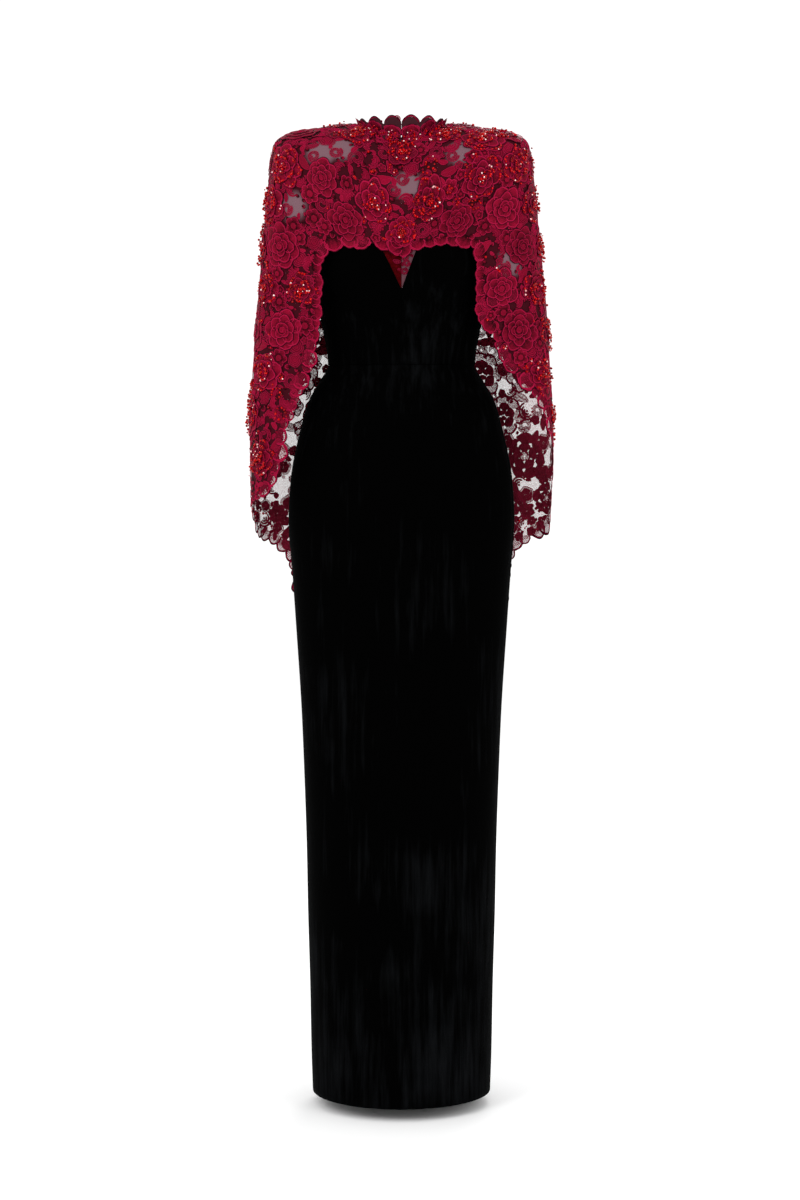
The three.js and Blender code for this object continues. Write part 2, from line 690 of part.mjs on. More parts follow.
function addPiece(name, geometry, finish) {
  const material = new THREE.MeshStandardMaterial(finishes[finish]);
  const mesh = new THREE.Mesh(geometry, material);
  mesh.name = name;
  group.add(mesh);
}

for (const [sign, side] of [[-1, 'left'], [1, 'right']]) {
  for (const [name, geometry] of bodicePanels(sign)) addPiece(`${name}_${side}`, geometry, 'velvet');
  addPiece(`skirt_back_${side}`, skirtBack(sign), 'velvet');
  addPiece(`notch_insert_${side}`, notchInsert(sign), 'net');
}
addPiece('skirt_front', skirtFront(), 'velvet');
addPiece('back_zip', zipChain(), 'zip');
addPiece('zip_slider', fromManifold(zipSlider()), 'metal');
addPiece('zip_pull', fromManifold(zipPull()), 'metal');
addPiece('cape_front', lacePanel(-90, 90, downAt(90, PANEL_END.front)), 'lace');
const slit = neckSlit();
addPiece('cape_back_right', lacePanel(90, 180, downAt(180, PANEL_END.back), [slit]), 'lace');
addPiece('cape_back_left', lacePanel(180, 270, downAt(180, PANEL_END.back), [slit]), 'lace');
addPiece('collar', collar(), 'lace');
addPiece('collar_button_upper', collarButton(0.78), 'button');
addPiece('collar_button_lower', collarButton(0.36), 'button');

export default group;
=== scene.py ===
# Evening gown: a strapless column in black velvet, worn under a high-necked cape of beaded burgundy
# lace. Sizes in the tables are millimetres, and MM brings them to metres as each mesh is made.
import math
import bpy
import numpy as np
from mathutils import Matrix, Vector
from mathutils.geometry import delaunay_2d_cdt
from mathutils.kdtree import KDTree


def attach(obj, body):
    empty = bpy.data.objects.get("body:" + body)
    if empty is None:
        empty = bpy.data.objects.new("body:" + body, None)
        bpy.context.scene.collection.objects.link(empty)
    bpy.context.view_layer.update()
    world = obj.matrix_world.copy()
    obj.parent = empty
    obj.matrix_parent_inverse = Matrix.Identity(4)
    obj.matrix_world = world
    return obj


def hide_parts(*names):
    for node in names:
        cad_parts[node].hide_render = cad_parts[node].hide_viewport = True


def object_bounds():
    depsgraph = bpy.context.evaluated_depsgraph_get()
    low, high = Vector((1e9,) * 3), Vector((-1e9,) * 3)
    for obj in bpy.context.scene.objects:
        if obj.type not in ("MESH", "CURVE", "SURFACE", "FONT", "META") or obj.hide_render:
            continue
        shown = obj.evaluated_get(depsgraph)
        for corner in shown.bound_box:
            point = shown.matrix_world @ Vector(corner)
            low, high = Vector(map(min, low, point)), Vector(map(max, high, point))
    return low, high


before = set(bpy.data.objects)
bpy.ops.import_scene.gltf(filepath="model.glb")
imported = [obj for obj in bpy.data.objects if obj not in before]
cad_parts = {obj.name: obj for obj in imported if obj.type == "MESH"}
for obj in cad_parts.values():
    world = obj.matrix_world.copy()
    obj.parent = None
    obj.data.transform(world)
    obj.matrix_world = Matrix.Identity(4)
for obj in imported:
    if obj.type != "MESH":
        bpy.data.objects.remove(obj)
cad_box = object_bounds()
MM = 0.001
chance = np.random.default_rng(21)


# Studio
# A wide pale floor just under the hem, even white light from all round, two soft lamps in front and
# one behind. The camera stands 4.5 m away at hip height and looks slightly down.
PIXEL = 1.58
CAMERA_ASIDE = -1.5 * PIXEL
CAMERA_AWAY = 4.5
CAMERA_HEIGHT = -0.068
AIM_HEIGHT = -0.370
FRAME_HEIGHT = 1200 * PIXEL * MM
FLOOR_GAP, FLOOR_RADIUS, FLOOR_WHITE = 0.02, 14, 0.93


def add_lamp(name, place, aim, size, watts):
    lamp = bpy.data.lights.new(name, "AREA")
    lamp.shape = "RECTANGLE"
    lamp.size, lamp.size_y = size
    lamp.energy = watts
    holder = bpy.data.objects.new(name, lamp)
    holder.location = place
    holder.rotation_euler = (Vector(aim) - Vector(place)).to_track_quat("-Z", "Y").to_euler()
    bpy.context.collection.objects.link(holder)


bpy.ops.object.select_all(action="DESELECT")
bpy.ops.mesh.primitive_circle_add(vertices=96, radius=FLOOR_RADIUS, fill_type="NGON", location=(0, 0, 0))
floor = bpy.context.object
floor.name = "studio_floor"
floor.data.transform(floor.matrix_world)
floor.matrix_world.identity()
for corner in floor.data.vertices:
    corner.co.z = cad_box[0][2] - FLOOR_GAP
floor_paint = bpy.data.materials.new("floor_paint")
floor_paint.use_nodes = True
paint = floor_paint.node_tree.nodes["Principled BSDF"]
paint.inputs["Base Color"].default_value = (FLOOR_WHITE, FLOOR_WHITE, FLOOR_WHITE, 1)
paint.inputs["Roughness"].default_value = 1
floor.data.materials.append(floor_paint)

sky = bpy.data.worlds.new("studio_white")
sky.use_nodes = True
backdrop = sky.node_tree.nodes["Background"]
backdrop.inputs["Color"].default_value = (1, 1, 1, 1)
backdrop.inputs["Strength"].default_value = 1.1
bpy.context.scene.world = sky
bpy.context.scene.view_settings.view_transform = "Standard"

add_lamp("key_lamp", (-2.2, -3.0, 1.6), (0, 0, 0.1), (1.2, 1.8), 50)
add_lamp("fill_lamp", (2.6, -2.6, 0.8), (0, 0, -0.2), (1.4, 2.0), 26)
add_lamp("back_lamp", (0.8, 3.2, 1.8), (0, 0, 0.0), (1.4, 1.4), 40)

camera = bpy.data.cameras.new("camera")
holder = bpy.data.objects.new("camera", camera)
holder.location = (CAMERA_ASIDE * MM, -CAMERA_AWAY, CAMERA_HEIGHT)
aim = Vector((holder.location.x, 0, AIM_HEIGHT))
holder.rotation_euler = (aim - holder.location).to_track_quat("-Z", "Y").to_euler()
camera.sensor_width = 36
camera.lens = 36 * (aim - holder.location).length / FRAME_HEIGHT
camera.clip_end = 60
bpy.context.collection.objects.link(holder)
bpy.context.scene.camera = holder


# Velvet gown
# Nine panels of black silk velvet on a general figure: two fronts with the V notch, two sides and two
# backs in the bodice, a front and two backs in the skirt. Seams pull the pile in, and each panel is
# turned in at its edges.
VELVET = 1.6
SEAM = 0.3
SEAM_PULL, WAIST_PULL = (0.85, 2.2), (0.6, 2.4)
BODICE_TOP, HEM = 190, 1152
NOTCH_POINT = 113
NOTCH_SLOPE = 0.379
ZIP_FOOT = -180
ZIP_WIDTH = 2.4


def table(names, rows):
    return dict(zip(names.split(), np.array(rows, float).T))


BODY = table("z half front back power", [
    (225, 139, 110, 86, 2.1),
    (190, 141, 116, 88, 2.1),
    (150, 138, 117, 89, 2.1),
    (100, 130, 108, 86, 2.1),
    (57, 121, 97, 82, 2.1),
    (0, 113, 88, 80, 2.1),
    (-24, 126, 92, 90, 2.1),
    (-55, 144, 97, 102, 2.15),
    (-88, 154, 101, 112, 2.2),
    (-120, 162, 104, 118, 2.2),
    (-152, 169, 106, 122, 2.2),
    (-185, 173.5, 108, 124, 2.2),
    (-250, 176.5, 110, 124, 2.2),
    (-322, 171, 113, 122, 2.2),
    (-425, 164, 117, 121, 2.15),
    (-536, 157, 121, 122, 2.1),
    (-646, 152.5, 125, 125, 2.1),
    (-757, 149, 129, 129, 2.05),
    (-867, 147, 132, 132, 2),
    (-978, 144, 135, 135, 2),
    (-1089, 142, 138, 138, 2),
    (-1152, 140, 139, 139, 2),
])
CUP = {"angle": 36, "spread": 22, "z": 150, "rise": 52, "lift": 13}
PRINCESS_SEAM = table("z angle", [(0, 49), (60, 46), (90, 47), (128, 58), (155, 68), (190, 76), (225, 80)])
SIDE_SEAM = {-1: -87, 1: 82}
TOP_EDGE = table("angle z", [(0, 204), (24, 216), (50, 206), (90, 188), (130, 176), (180, 172)])

# Soft creases of the velvet, from one place to another as seen from the front: x and z in millimetres,
# then how wide and how deep each is. They lie on the front, or on the back where marked -1.
CREASES = [
    (1, -92, 150, -70, 40, 7, 1.1),
    (1, -84, 105, -58, 20, 6, -0.8),
    (1, 96, 140, 74, 52, 7, 0.9),
    (1, 66, 86, 38, 14, 6, -0.7),
    (1, -108, -60, -60, -104, 11, -1.0),
    (1, 104, -48, 50, -86, 12, -0.9),
    (1, -62, -20, 40, -30, 10, 0.6),
    (1, -90, -640, -70, -905, 20, -1.6),
    (1, 30, -560, 48, -830, 24, 1.4),
    (1, 64, -900, 52, -1120, 20, -1.5),
    (1, -34, -880, -48, -1135, 18, 1.3),
    (1, -110, -930, -100, -1140, 16, 1.2),
    (-1, -70, -40, -30, -90, 12, -1.1),
    (-1, 66, -30, 34, -84, 12, -1.0),
    (-1, -50, -520, -64, -820, 24, 1.5),
    (-1, 58, -640, 40, -980, 24, -1.5),
]


def between(rows, by, at, column):
    """A table's column between its rows, on a smooth curve through them."""
    steps, values = rows[by], rows[column]
    way = np.sign(steps[-1] - steps[0])
    at = np.asarray(at, float)
    k = np.clip(np.searchsorted(steps * way, at * way) - 1, 0, len(steps) - 2)
    before = np.maximum(np.arange(len(steps)) - 1, 0)
    after = np.minimum(np.arange(len(steps)) + 1, len(steps) - 1)
    slope = (values[after] - values[before]) / (steps[after] - steps[before])
    span = steps[k + 1] - steps[k]
    t = np.clip((at - steps[k]) / span, 0, 1)
    rest = 1 - t
    start = (1 + 2 * t) * rest * rest * values[k] + t * rest * rest * span * slope[k]
    end = t * t * (3 - 2 * t) * values[k + 1] - t * t * rest * span * slope[k + 1]
    return start + end


def reach(half, depth, power, angle):
    aside = np.abs(np.sin(angle)) / half
    ahead = np.abs(np.cos(angle)) / depth
    return (aside ** power + ahead ** power) ** (-1 / power)


def around(radius, angle, z):
    return np.stack([radius * np.sin(angle), -radius * np.cos(angle), z + 0 * radius], -1)


def turned(angle):
    return np.abs(np.arctan2(np.sin(angle), np.cos(angle)))


def body_reach(angle, z):
    front = np.cos(angle) > 0
    depth = np.where(front, between(BODY, "z", z, "front"), between(BODY, "z", z, "back"))
    aside = (np.degrees(turned(angle)) - CUP["angle"]) / CUP["spread"]
    above = (z - CUP["z"]) / CUP["rise"]
    cup = CUP["lift"] * np.exp(-aside * aside - above * above)
    return reach(between(BODY, "z", z, "half"), depth, between(BODY, "z", z, "power"), angle) + cup


def body_point(angle, z, lift=0):
    step = 0.01
    here = around(body_reach(angle, z), angle, z)
    along = around(body_reach(angle + step, z), angle + step, z)
    along = along - around(body_reach(angle - step, z), angle - step, z)
    out = np.stack([along[..., 1], -along[..., 0], 0 * z + 0 * angle], -1)
    out = out / np.linalg.norm(out, axis=-1, keepdims=True)
    return here + out * np.asarray(lift)[..., None]


def angle_aside(distance, z, centre):
    return np.arcsin(distance / body_reach(centre + 0 * z, z))


def notch_half(z, side):
    """Half the notch's width. It is cut a little wider on the wearer's right."""
    return np.maximum(0, z - NOTCH_POINT) * NOTCH_SLOPE * np.where(np.asarray(side) < 0, 1.24, 0.97)


def top_edge(angle):
    return between(TOP_EDGE, "angle", np.degrees(turned(angle)), "z")


def creases(points):
    lift = np.zeros(points.shape[:-1])
    for side, x0, z0, x1, z1, width, depth in CREASES:
        start, run = np.array([x0, z0]), np.array([x1 - x0, z1 - z0])
        flat = points[..., [0, 2]] - start
        share = np.clip(flat @ run / (run @ run), 0, 1)
        away = np.linalg.norm(flat - share[..., None] * run, axis=-1) / width
        own_side = points[..., 1] * side < 0
        lift += own_side * depth * np.exp(-away ** 2) * np.sin(np.pi * np.clip(share, 0.02, 0.98)) ** 0.5
    return lift


def make_mesh(name, points, faces, uvs=None, smooth=True):
    """A mesh object at the origin from points in millimetres, with an optional UV place per point."""
    mesh = bpy.data.meshes.new(name)
    mesh.from_pydata((np.asarray(points) * MM).tolist(), [], faces)
    if uvs is not None:
        order = np.empty(len(mesh.loops), dtype=np.int32)
        mesh.loops.foreach_get("vertex_index", order)
        layer = mesh.uv_layers.new(name="cloth")
        layer.data.foreach_set("uv", np.asarray(uvs, np.float32)[order].ravel())
    mesh.polygons.foreach_set("use_smooth", [smooth] * len(mesh.polygons))
    mesh.update()
    piece = bpy.data.objects.new(name, mesh)
    bpy.context.collection.objects.link(piece)
    return piece


def grid_faces(columns, rows, flipped):
    across, down = np.meshgrid(np.arange(columns), np.arange(rows))
    a = (down * (columns + 1) + across).ravel()
    quads = np.stack([a, a + 1, a + columns + 2, a + columns + 1], -1)
    return (quads[:, ::-1] if flipped else quads).tolist()


def thicken(piece, thickness):
    """Turn a surface into cloth of the given thickness, inwards, and apply it."""
    wall = piece.modifiers.new("wall", "SOLIDIFY")
    wall.thickness = thickness * MM
    wall.offset = -1
    bpy.ops.object.select_all(action="DESELECT")
    piece.select_set(True)
    bpy.context.view_layer.objects.active = piece
    bpy.ops.object.modifier_apply(modifier=wall.name)


def new_material(name):
    material = bpy.data.materials.new(name)
    material.use_nodes = True
    nodes = material.node_tree.nodes
    return material, nodes, nodes["Principled BSDF"]


def put(socket, value):
    """Give an input a value, or link it where the value is another node's output."""
    if isinstance(value, bpy.types.NodeSocket):
        socket.id_data.links.new(value, socket)
    else:
        socket.default_value = value


def set_inputs(node, values):
    for name, value in values.items():
        put(node.inputs[name], value)


def add_node(nodes, kind, **settings):
    node = nodes.new(kind)
    for key, value in settings.items():
        if key in node.inputs:
            put(node.inputs[key], value)
        else:
            setattr(node, key, value)
    return node


def worked_out(nodes, operation, *terms):
    """The result of a sum on values or on other nodes' outputs."""
    node = add_node(nodes, "ShaderNodeMath", operation=operation)
    for socket, term in zip(node.inputs, terms):
        put(socket, term)
    return node.outputs["Value"]


def noise(nodes, place, scale, detail=2.0, roughness=0.5):
    cloud = add_node(nodes, "ShaderNodeTexNoise", Vector=place, Scale=scale, Detail=detail,
                     Roughness=roughness)
    return cloud.outputs["Fac"]


def tinted(nodes, share, low, high, low_color, high_color):
    """A colour that runs from one to the other while the share goes from low to high."""
    ramp = add_node(nodes, "ShaderNodeValToRGB", Fac=share)
    for stop, position, color in zip(ramp.color_ramp.elements, (low, high), (low_color, high_color)):
        stop.position = position
        stop.color = (*color, 1)
    return ramp.outputs["Color"]


def bumped(nodes, height, strength, depth):
    relief = add_node(nodes, "ShaderNodeBump", Height=height, Strength=strength, Distance=depth)
    return relief.outputs["Normal"]


# The pile's shine is painted into its colour: painted sheen in long lighter streaks that come and go,
# more of them towards the hem.
velvet, nodes, cloth = new_material("black_velvet")
place = nodes.new("ShaderNodeTexCoord").outputs["Object"]
stretched = add_node(nodes, "ShaderNodeMapping", Vector=place, Scale=(95, 95, 7)).outputs["Vector"]
high = add_node(nodes, "ShaderNodeSeparateXYZ", Vector=place).outputs["Z"]
lower = add_node(nodes, "ShaderNodeMapRange", Value=high)
set_inputs(lower, {"From Min": -1.05, "From Max": -0.35, "To Min": 1.12, "To Max": 0.86})
patches = noise(nodes, place, 5.5, 3.0)
sheen_streaks = worked_out(nodes, "MULTIPLY", noise(nodes, stretched, 1.0, 5.0, 0.62), patches)
sheen_streaks = worked_out(nodes, "MULTIPLY", sheen_streaks, lower.outputs["Result"])
set_inputs(cloth, {
    "Base Color": tinted(nodes, sheen_streaks, 0.24, 0.5, (0.0003, 0.0003, 0.0003), (0.0043, 0.0047, 0.0053)),
    "Normal": bumped(nodes, noise(nodes, place, 1500.0), 0.35, 0.0006),
    "Roughness": 0.82, "Specular IOR Level": 0.005,
    "Sheen Weight": 0.016, "Sheen Roughness": 0.3, "Sheen Tint": (0.62, 0.68, 0.72, 1),
})


def seam_lines(sign):
    def back_edge(z):
        return np.where(z > ZIP_FOOT - 1, ZIP_WIDTH / 2 + SEAM, 0.02)
    return {
        "centre_front": lambda z: sign * angle_aside(SEAM / 2 + notch_half(z, sign), z, 0),
        "princess": lambda z: sign * np.radians(between(PRINCESS_SEAM, "z", z, "angle")),
        "side": lambda z: np.radians(SIDE_SEAM[sign]) + 0 * z,
        "centre_back": lambda z: sign * (np.pi - angle_aside(back_edge(z), z, np.pi)),
    }


def velvet_panel(node, columns, heights, start, end, flat, area):
    """A panel between two seam lines. Its edges turn in where they are sewn."""
    share = (1 - np.cos(np.pi * np.arange(columns + 1) / columns)) / 2
    z = heights(share)
    share = share[None, :] + 0 * z
    angle = start(z) + (end(z) - start(z)) * share
    width = np.abs(end(z) - start(z)) * body_reach(angle, z)
    from_seam = np.minimum(share, 1 - share) * width
    from_waist = np.abs(z)
    turn_in = SEAM_PULL[0] * np.exp(-(from_seam / SEAM_PULL[1]) ** 2)
    turn_in = turn_in + WAIST_PULL[0] * np.exp(-(from_waist / WAIST_PULL[1]) ** 2)
    lift = VELVET - turn_in + creases(body_point(angle, z))
    points = body_point(angle, z, lift).reshape(-1, 3)
    flipped = float(end(z[0])[0] - start(z[0])[0]) > 0
    faces = grid_faces(columns, z.shape[0] - 1, flipped)
    uvs = np.stack([(share * width).ravel(), z.ravel()], -1) * MM
    piece = make_mesh(f"{node}_velvet", points, faces, uvs)
    thicken(piece, VELVET - 0.2)
    piece.data.materials.append(velvet)
    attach(piece, "gown")
    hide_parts(node)
    return piece


def bodice_heights(start, end, rows=34):
    def heights(share):
        level = np.array(float(BODICE_TOP))
        angle = start(level) + (end(level) - start(level)) * share
        steps = np.linspace(0, 1, rows + 1)[:, None]
        return SEAM / 2 + (top_edge(angle)[None, :] - SEAM / 2) * steps
    return heights


def skirt_heights(share):
    steps = np.concatenate([[0, 0.0012, 0.0026, 0.0045], np.linspace(0.009, 1, 112)])
    return (-SEAM / 2 - (HEM - SEAM / 2) * steps)[:, None] + 0 * share[None, :]


skirt_front_line = {side: seam_lines(side)["side"] for side in (-1, 1)}
for sign, side in ((-1, "left"), (1, "right")):
    line = seam_lines(sign)
    for part, start, end, columns, flat, area in (
        ("front", line["centre_front"], line["princess"], 22, (0.16, 0.22), 0.0225),
        ("side", line["princess"], line["side"], 16, (0.12, 0.20), 0.0125),
        ("back", line["side"], line["centre_back"], 22, (0.19, 0.20), 0.0315),
    ):
        velvet_panel(f"bodice_{part}_{side}", columns, bodice_heights(start, end), start, end, flat, area)
    velvet_panel(f"skirt_back_{side}", 30, skirt_heights, line["side"], line["centre_back"],
                 (0.30, 1.16), 0.29)
velvet_panel("skirt_front", 52, skirt_heights, skirt_front_line[-1], skirt_front_line[1],
             (0.47, 1.16), 0.50)


# Lace cape
# A cape of corded lace on net, cut in a front and two backs, with squared shoulders. It is drafted flat,
# across and down in millimetres, and draped over the bodice. The embroidery stands on the net: satin
# roses and leaves, cords round open shapes filled with mesh, and lobes along the lower edge.
CLEARANCE = 0.7
RELEASED_ABOVE, RELEASE = 6, 1.2
MEETING_ROUNDING = 3
LACE = 1.4
SCALLOP_PITCH, SCALLOP_BULGE, SCALLOP_STEPS = 16, 1.6, 6
ROSE_ACROSS, ROSE_DOWN, ROSE_FIRST, ROSE_RADIUS = 74, 66, 96, 27
CAPE = table("side front back half fore aft power", [
    (374, 340, 372, 68, 62, 66, 2),
    (371, 324, 363, 100, 77, 82, 2.1),
    (364, 302, 344, 145, 90, 98, 2.3),
    (356, 276, 318, 180, 100, 110, 2.6),
    (346, 258, 300, 194, 106, 115, 2.8),
    (324, 240, 284, 200, 110, 118, 2.8),
    (262, 205, 240, 208, 113, 123, 2.7),
    (199, 170, 192, 214, 112, 126, 2.6),
    (104, 96, 104, 223, 104, 126, 2.5),
    (0, 0, 0, 231, 98, 128, 2.4),
    (-85, -85, -85, 236, 98, 134, 2.4),
    (-180, -180, -180, 236, 100, 142, 2.3),
    (-300, -300, -300, 232, 104, 150, 2.2),
    (-520, -520, -520, 214, 110, 153, 2.2),
])
EDGE = table("angle z", [
    (-90, -216), (-84, -208), (-75, -192), (-71, -160), (-68, -93), (-64, -38), (-59, 16), (-56, 62),
    (-54, 110), (-52.5, 158), (-47, 181), (-25, 184), (-8, 180), (0, 171), (8, 180), (25, 185),
    (46, 183), (50.5, 160), (51.5, 112), (53, 72), (59, 52), (62, 25), (66, 0), (72, -32), (77, -58),
    (83, -106), (90, -150), (96, -205), (102, -250), (113, -279), (119, -312), (122, -368),
    (127, -428), (142, -474), (160, -496), (180, -502), (200, -497), (218, -476), (233, -434),
    (238, -376), (241, -314), (247, -280), (258, -254), (266, -226), (270, -216),
])
FOLDS = [
    (-74, 6, 5, 160, -200), (-62, 5, -5, 120, -120), (66, 5, -5, 180, -40), (78, 6, 5, 160, -160),
    (104, 7, 8, 200, -260), (118, 7, -12, 180, -260), (132, 8, 11, 160, -300), (147, 8, -10, 200, -360),
    (162, 8, 12, 220, -420), (178, 8, -9, 180, -460), (194, 8, 11, 220, -420), (209, 8, -10, 200, -380),
    (223, 8, 12, 160, -320), (238, 7, -11, 190, -260), (252, 7, 9, 200, -240),
]
SLIT_LENGTH, SLIT_TOP, SLIT_BULGE = 125, 1.2, 8

steps = np.hypot(np.diff(CAPE["half"]), np.diff(CAPE["side"]))
CAPE["down"] = np.concatenate([[0], np.cumsum(steps)])
waist = int(np.flatnonzero(CAPE["side"] == 0)[0])
turns = np.radians(np.arange(181))
depths = np.where(np.cos(turns) > 0, CAPE["fore"][waist], CAPE["aft"][waist])
ring = around(reach(CAPE["half"][waist], depths, CAPE["power"][waist], turns), turns, 0)
arc = np.concatenate([[0], np.cumsum(np.linalg.norm(np.diff(ring, axis=0), axis=1))])
HALF_ROUND = arc[-1]
ALL_DEGREES = np.arange(-180, 541)
ALL_ACROSS = np.concatenate([-arc[:0:-1], arc, 2 * HALF_ROUND - arc[-2::-1], 2 * HALF_ROUND + arc[1:]])


def across_at(degrees):
    return np.interp(degrees, ALL_DEGREES, ALL_ACROSS)


def cape_height(angle, down):
    share = np.sin(angle) ** 2
    front, back, side = (between(CAPE, "down", down, column) for column in ("front", "back", "side"))
    return side * share + np.where(np.cos(angle) > 0, front, back) * (1 - share)


def down_at(degrees, z):
    high = 0 * z
    low = CAPE["down"][-1] + 0 * z
    for _ in range(30):
        middle = (high + low) / 2
        above = cape_height(np.radians(degrees), middle) > z
        high = np.where(above, middle, high)
        low = np.where(above, low, middle)
    return low


def fold_at(degrees, z):
    turn = np.where(degrees > 270, degrees - 360, degrees)
    total = 0 * z
    for angle, spread, out, starts, full in FOLDS:
        grown = np.clip((starts - z) / (starts - full), 0, 1)
        total = total + out * np.exp(-((turn - angle) / spread) ** 2) * grown * grown * (3 - 2 * grown)
    return total


def cape_point(across, down):
    down = np.maximum(down, 0)
    degrees = np.interp(across, ALL_ACROSS, ALL_DEGREES)
    angle = np.radians(degrees)
    z = cape_height(angle, down)
    columns = ("half", "fore", "aft", "power")
    half, fore, aft, power = (between(CAPE, "down", down, column) for column in columns)
    free = reach(half, np.where(np.cos(angle) > 0, fore, aft), power, angle) + fold_at(degrees, z)
    released = np.maximum(0, z - top_edge(angle) - RELEASED_ABOVE) * RELEASE
    held = body_reach(angle, z) + VELVET + CLEARANCE - released
    return around((free + held + np.hypot(free - held, MEETING_ROUNDING)) / 2, angle, z)


def lace_point(across, down, lift):
    down = np.maximum(down, 0)
    along = cape_point(across + 1, down) - cape_point(across - 1, down)
    up = cape_point(across, down - 1) - cape_point(across, down + 1)
    out = np.cross(along, up)
    out = out / np.linalg.norm(out, axis=-1, keepdims=True)
    return cape_point(across, down) + out * np.asarray(lift)[..., None]


def smooth_curve(points, per_span=14):
    """A smooth curve through points, as a polyline."""
    padded = np.concatenate([points[:1], points, points[-1:]])
    t = np.linspace(0, 1, per_span, endpoint=False)[:, None]
    spans = []
    for k in range(1, len(padded) - 2):
        p0, p1, p2, p3 = padded[k - 1:k + 3]
        start, end = (p2 - p0) / 2, (p3 - p1) / 2
        spans.append((2 * p1 - 2 * p2 + start + end) * t ** 3
                     + (3 * p2 - 3 * p1 - 2 * start - end) * t ** 2 + start * t + p1)
    return np.concatenate([*spans, points[-1:]])


def evenly(line, count):
    """Points at even steps along a polyline, with the direction at each."""
    far = np.concatenate([[0], np.cumsum(np.linalg.norm(np.diff(line, axis=0), axis=1))])
    def along(at):
        return np.stack([np.interp(at, far, line[:, k]) for k in (0, 1)], -1)
    at = np.linspace(0, far[-1], count)
    ahead = along(at + 2) - along(at - 2)
    return along(at), ahead / np.linalg.norm(ahead, axis=1, keepdims=True)


edge_line = smooth_curve(np.stack([across_at(EDGE["angle"]), down_at(EDGE["angle"], EDGE["z"])], -1))
edge_length = np.linalg.norm(np.diff(edge_line, axis=0), axis=1).sum()
edge_points, edge_ahead = evenly(edge_line, round(edge_length / SCALLOP_PITCH) * SCALLOP_STEPS + 1)
edge_out = np.stack([-edge_ahead[:, 1], edge_ahead[:, 0]], -1)
bulge = SCALLOP_BULGE * np.abs(np.sin(np.pi * np.arange(len(edge_points)) / SCALLOP_STEPS))[:, None]
net_edge = edge_points + edge_out * bulge

t = np.linspace(0, 1, 10)[:, None]
lower = np.array([[SLIT_TOP, 10], [SLIT_TOP, 62.5], [SLIT_BULGE, 62.5], [SLIT_BULGE, 106.25]])
upper = np.array([[SLIT_BULGE, 106.25], [SLIT_BULGE, 125], [0, 125], [0, 125]])
slit_line = np.concatenate([[[SLIT_TOP, 0]]] + [
    (1 - t) ** 3 * c[0] + 3 * t * (1 - t) ** 2 * c[1] + 3 * t * t * (1 - t) * c[2] + t ** 3 * c[3]
    for c in (lower, upper)])


def inside(points, loop):
    """Which flat points lie inside a closed loop."""
    x, y = points[:, :1], points[:, 1:]
    a, b = loop, np.roll(loop, -1, axis=0)
    crosses = (a[:, 1] > y) != (b[:, 1] > y)
    rise = np.where(b[:, 1] == a[:, 1], 1, b[:, 1] - a[:, 1])
    return (crosses & (x < a[:, 0] + (y - a[:, 1]) / rise * (b[:, 0] - a[:, 0]))).sum(1) % 2 == 1


def fill_flat(outline, pitch):
    """Triangles over a flat outline, with an even grid of points inside it."""
    low, high = outline.min(0), outline.max(0)
    grid = np.stack(np.meshgrid(np.arange(low[0], high[0], pitch), np.arange(low[1], high[1], pitch)), -1)
    grid = grid.reshape(-1, 2) + pitch / 2
    grid = grid[inside(grid, outline)]
    away = np.concatenate([
        np.linalg.norm(part[:, None] - outline[None], axis=-1).min(1) for part in np.array_split(grid, 20)])
    grid = grid[away > pitch * 0.45]
    flat = [Vector(p) for p in np.concatenate([outline, grid])]
    loop = [list(range(len(outline)))]
    places, _, faces, *_ = delaunay_2d_cdt(flat, [], loop, 1, 0.001)
    return np.array([list(p) for p in places]), [list(f) for f in faces]


SIDE_STEPS = 60


def panel_outline(first, last, slit_side=0):
    """A cape panel's flat outline: neck edge, side, lower edge, side."""
    left, right = across_at(first) + SEAM, across_at(last) - SEAM
    edge = net_edge[(net_edge[:, 0] > left) & (net_edge[:, 0] < right)]
    left_end = np.interp(left, net_edge[:, 0], net_edge[:, 1])
    right_end = np.interp(right, net_edge[:, 0], net_edge[:, 1])
    neck = np.stack([np.linspace(left, right, SIDE_STEPS), np.zeros(SIDE_STEPS)], -1)
    if slit_side > 0:
        rim = slit_line * (-1, 1) + (HALF_ROUND, 0)
        neck = np.concatenate([neck[neck[:, 0] < HALF_ROUND - SLIT_TOP], rim])
        neck[-1, 0] = right
    if slit_side < 0:
        rim = slit_line[::-1] + (HALF_ROUND, 0)
        rim[0, 0] = left
        neck = np.concatenate([rim, neck[neck[:, 0] > HALF_ROUND + SLIT_TOP]])
    start = neck[-1, 1]
    down = np.linspace(start, right_end, SIDE_STEPS)[1:]
    right_side = np.stack([0 * down + right, down], -1)
    up = np.linspace(left_end, neck[0, 1], SIDE_STEPS)[:-1]
    left_side = np.stack([0 * up + left, up], -1)
    return np.concatenate([neck, right_side, edge[::-1], left_side])


# Motifs of the lace, made in the flat and used many times. Each is a set of parts: its points with a
# height over the net, its quads, the material of each quad, a shade for each point, a UV place for the
# stitches, and the spots where beads may be sewn. The shade holds painted shade at the bases and sides
# of petals, and at the feet of cords and just outside them.
SATIN, CORD, MESH = 0, 1, 2


def wheel(radius, turn, height):
    """Points at a distance, a turn and a height."""
    return np.stack(np.broadcast_arrays(radius * np.cos(turn), radius * np.sin(turn), height), -1)


def spun(x, y, height, turn):
    """Points of the flat turned round the middle."""
    c, s = math.cos(turn), math.sin(turn)
    return np.stack(np.broadcast_arrays(x * c - y * s, x * s + y * c, height), -1)


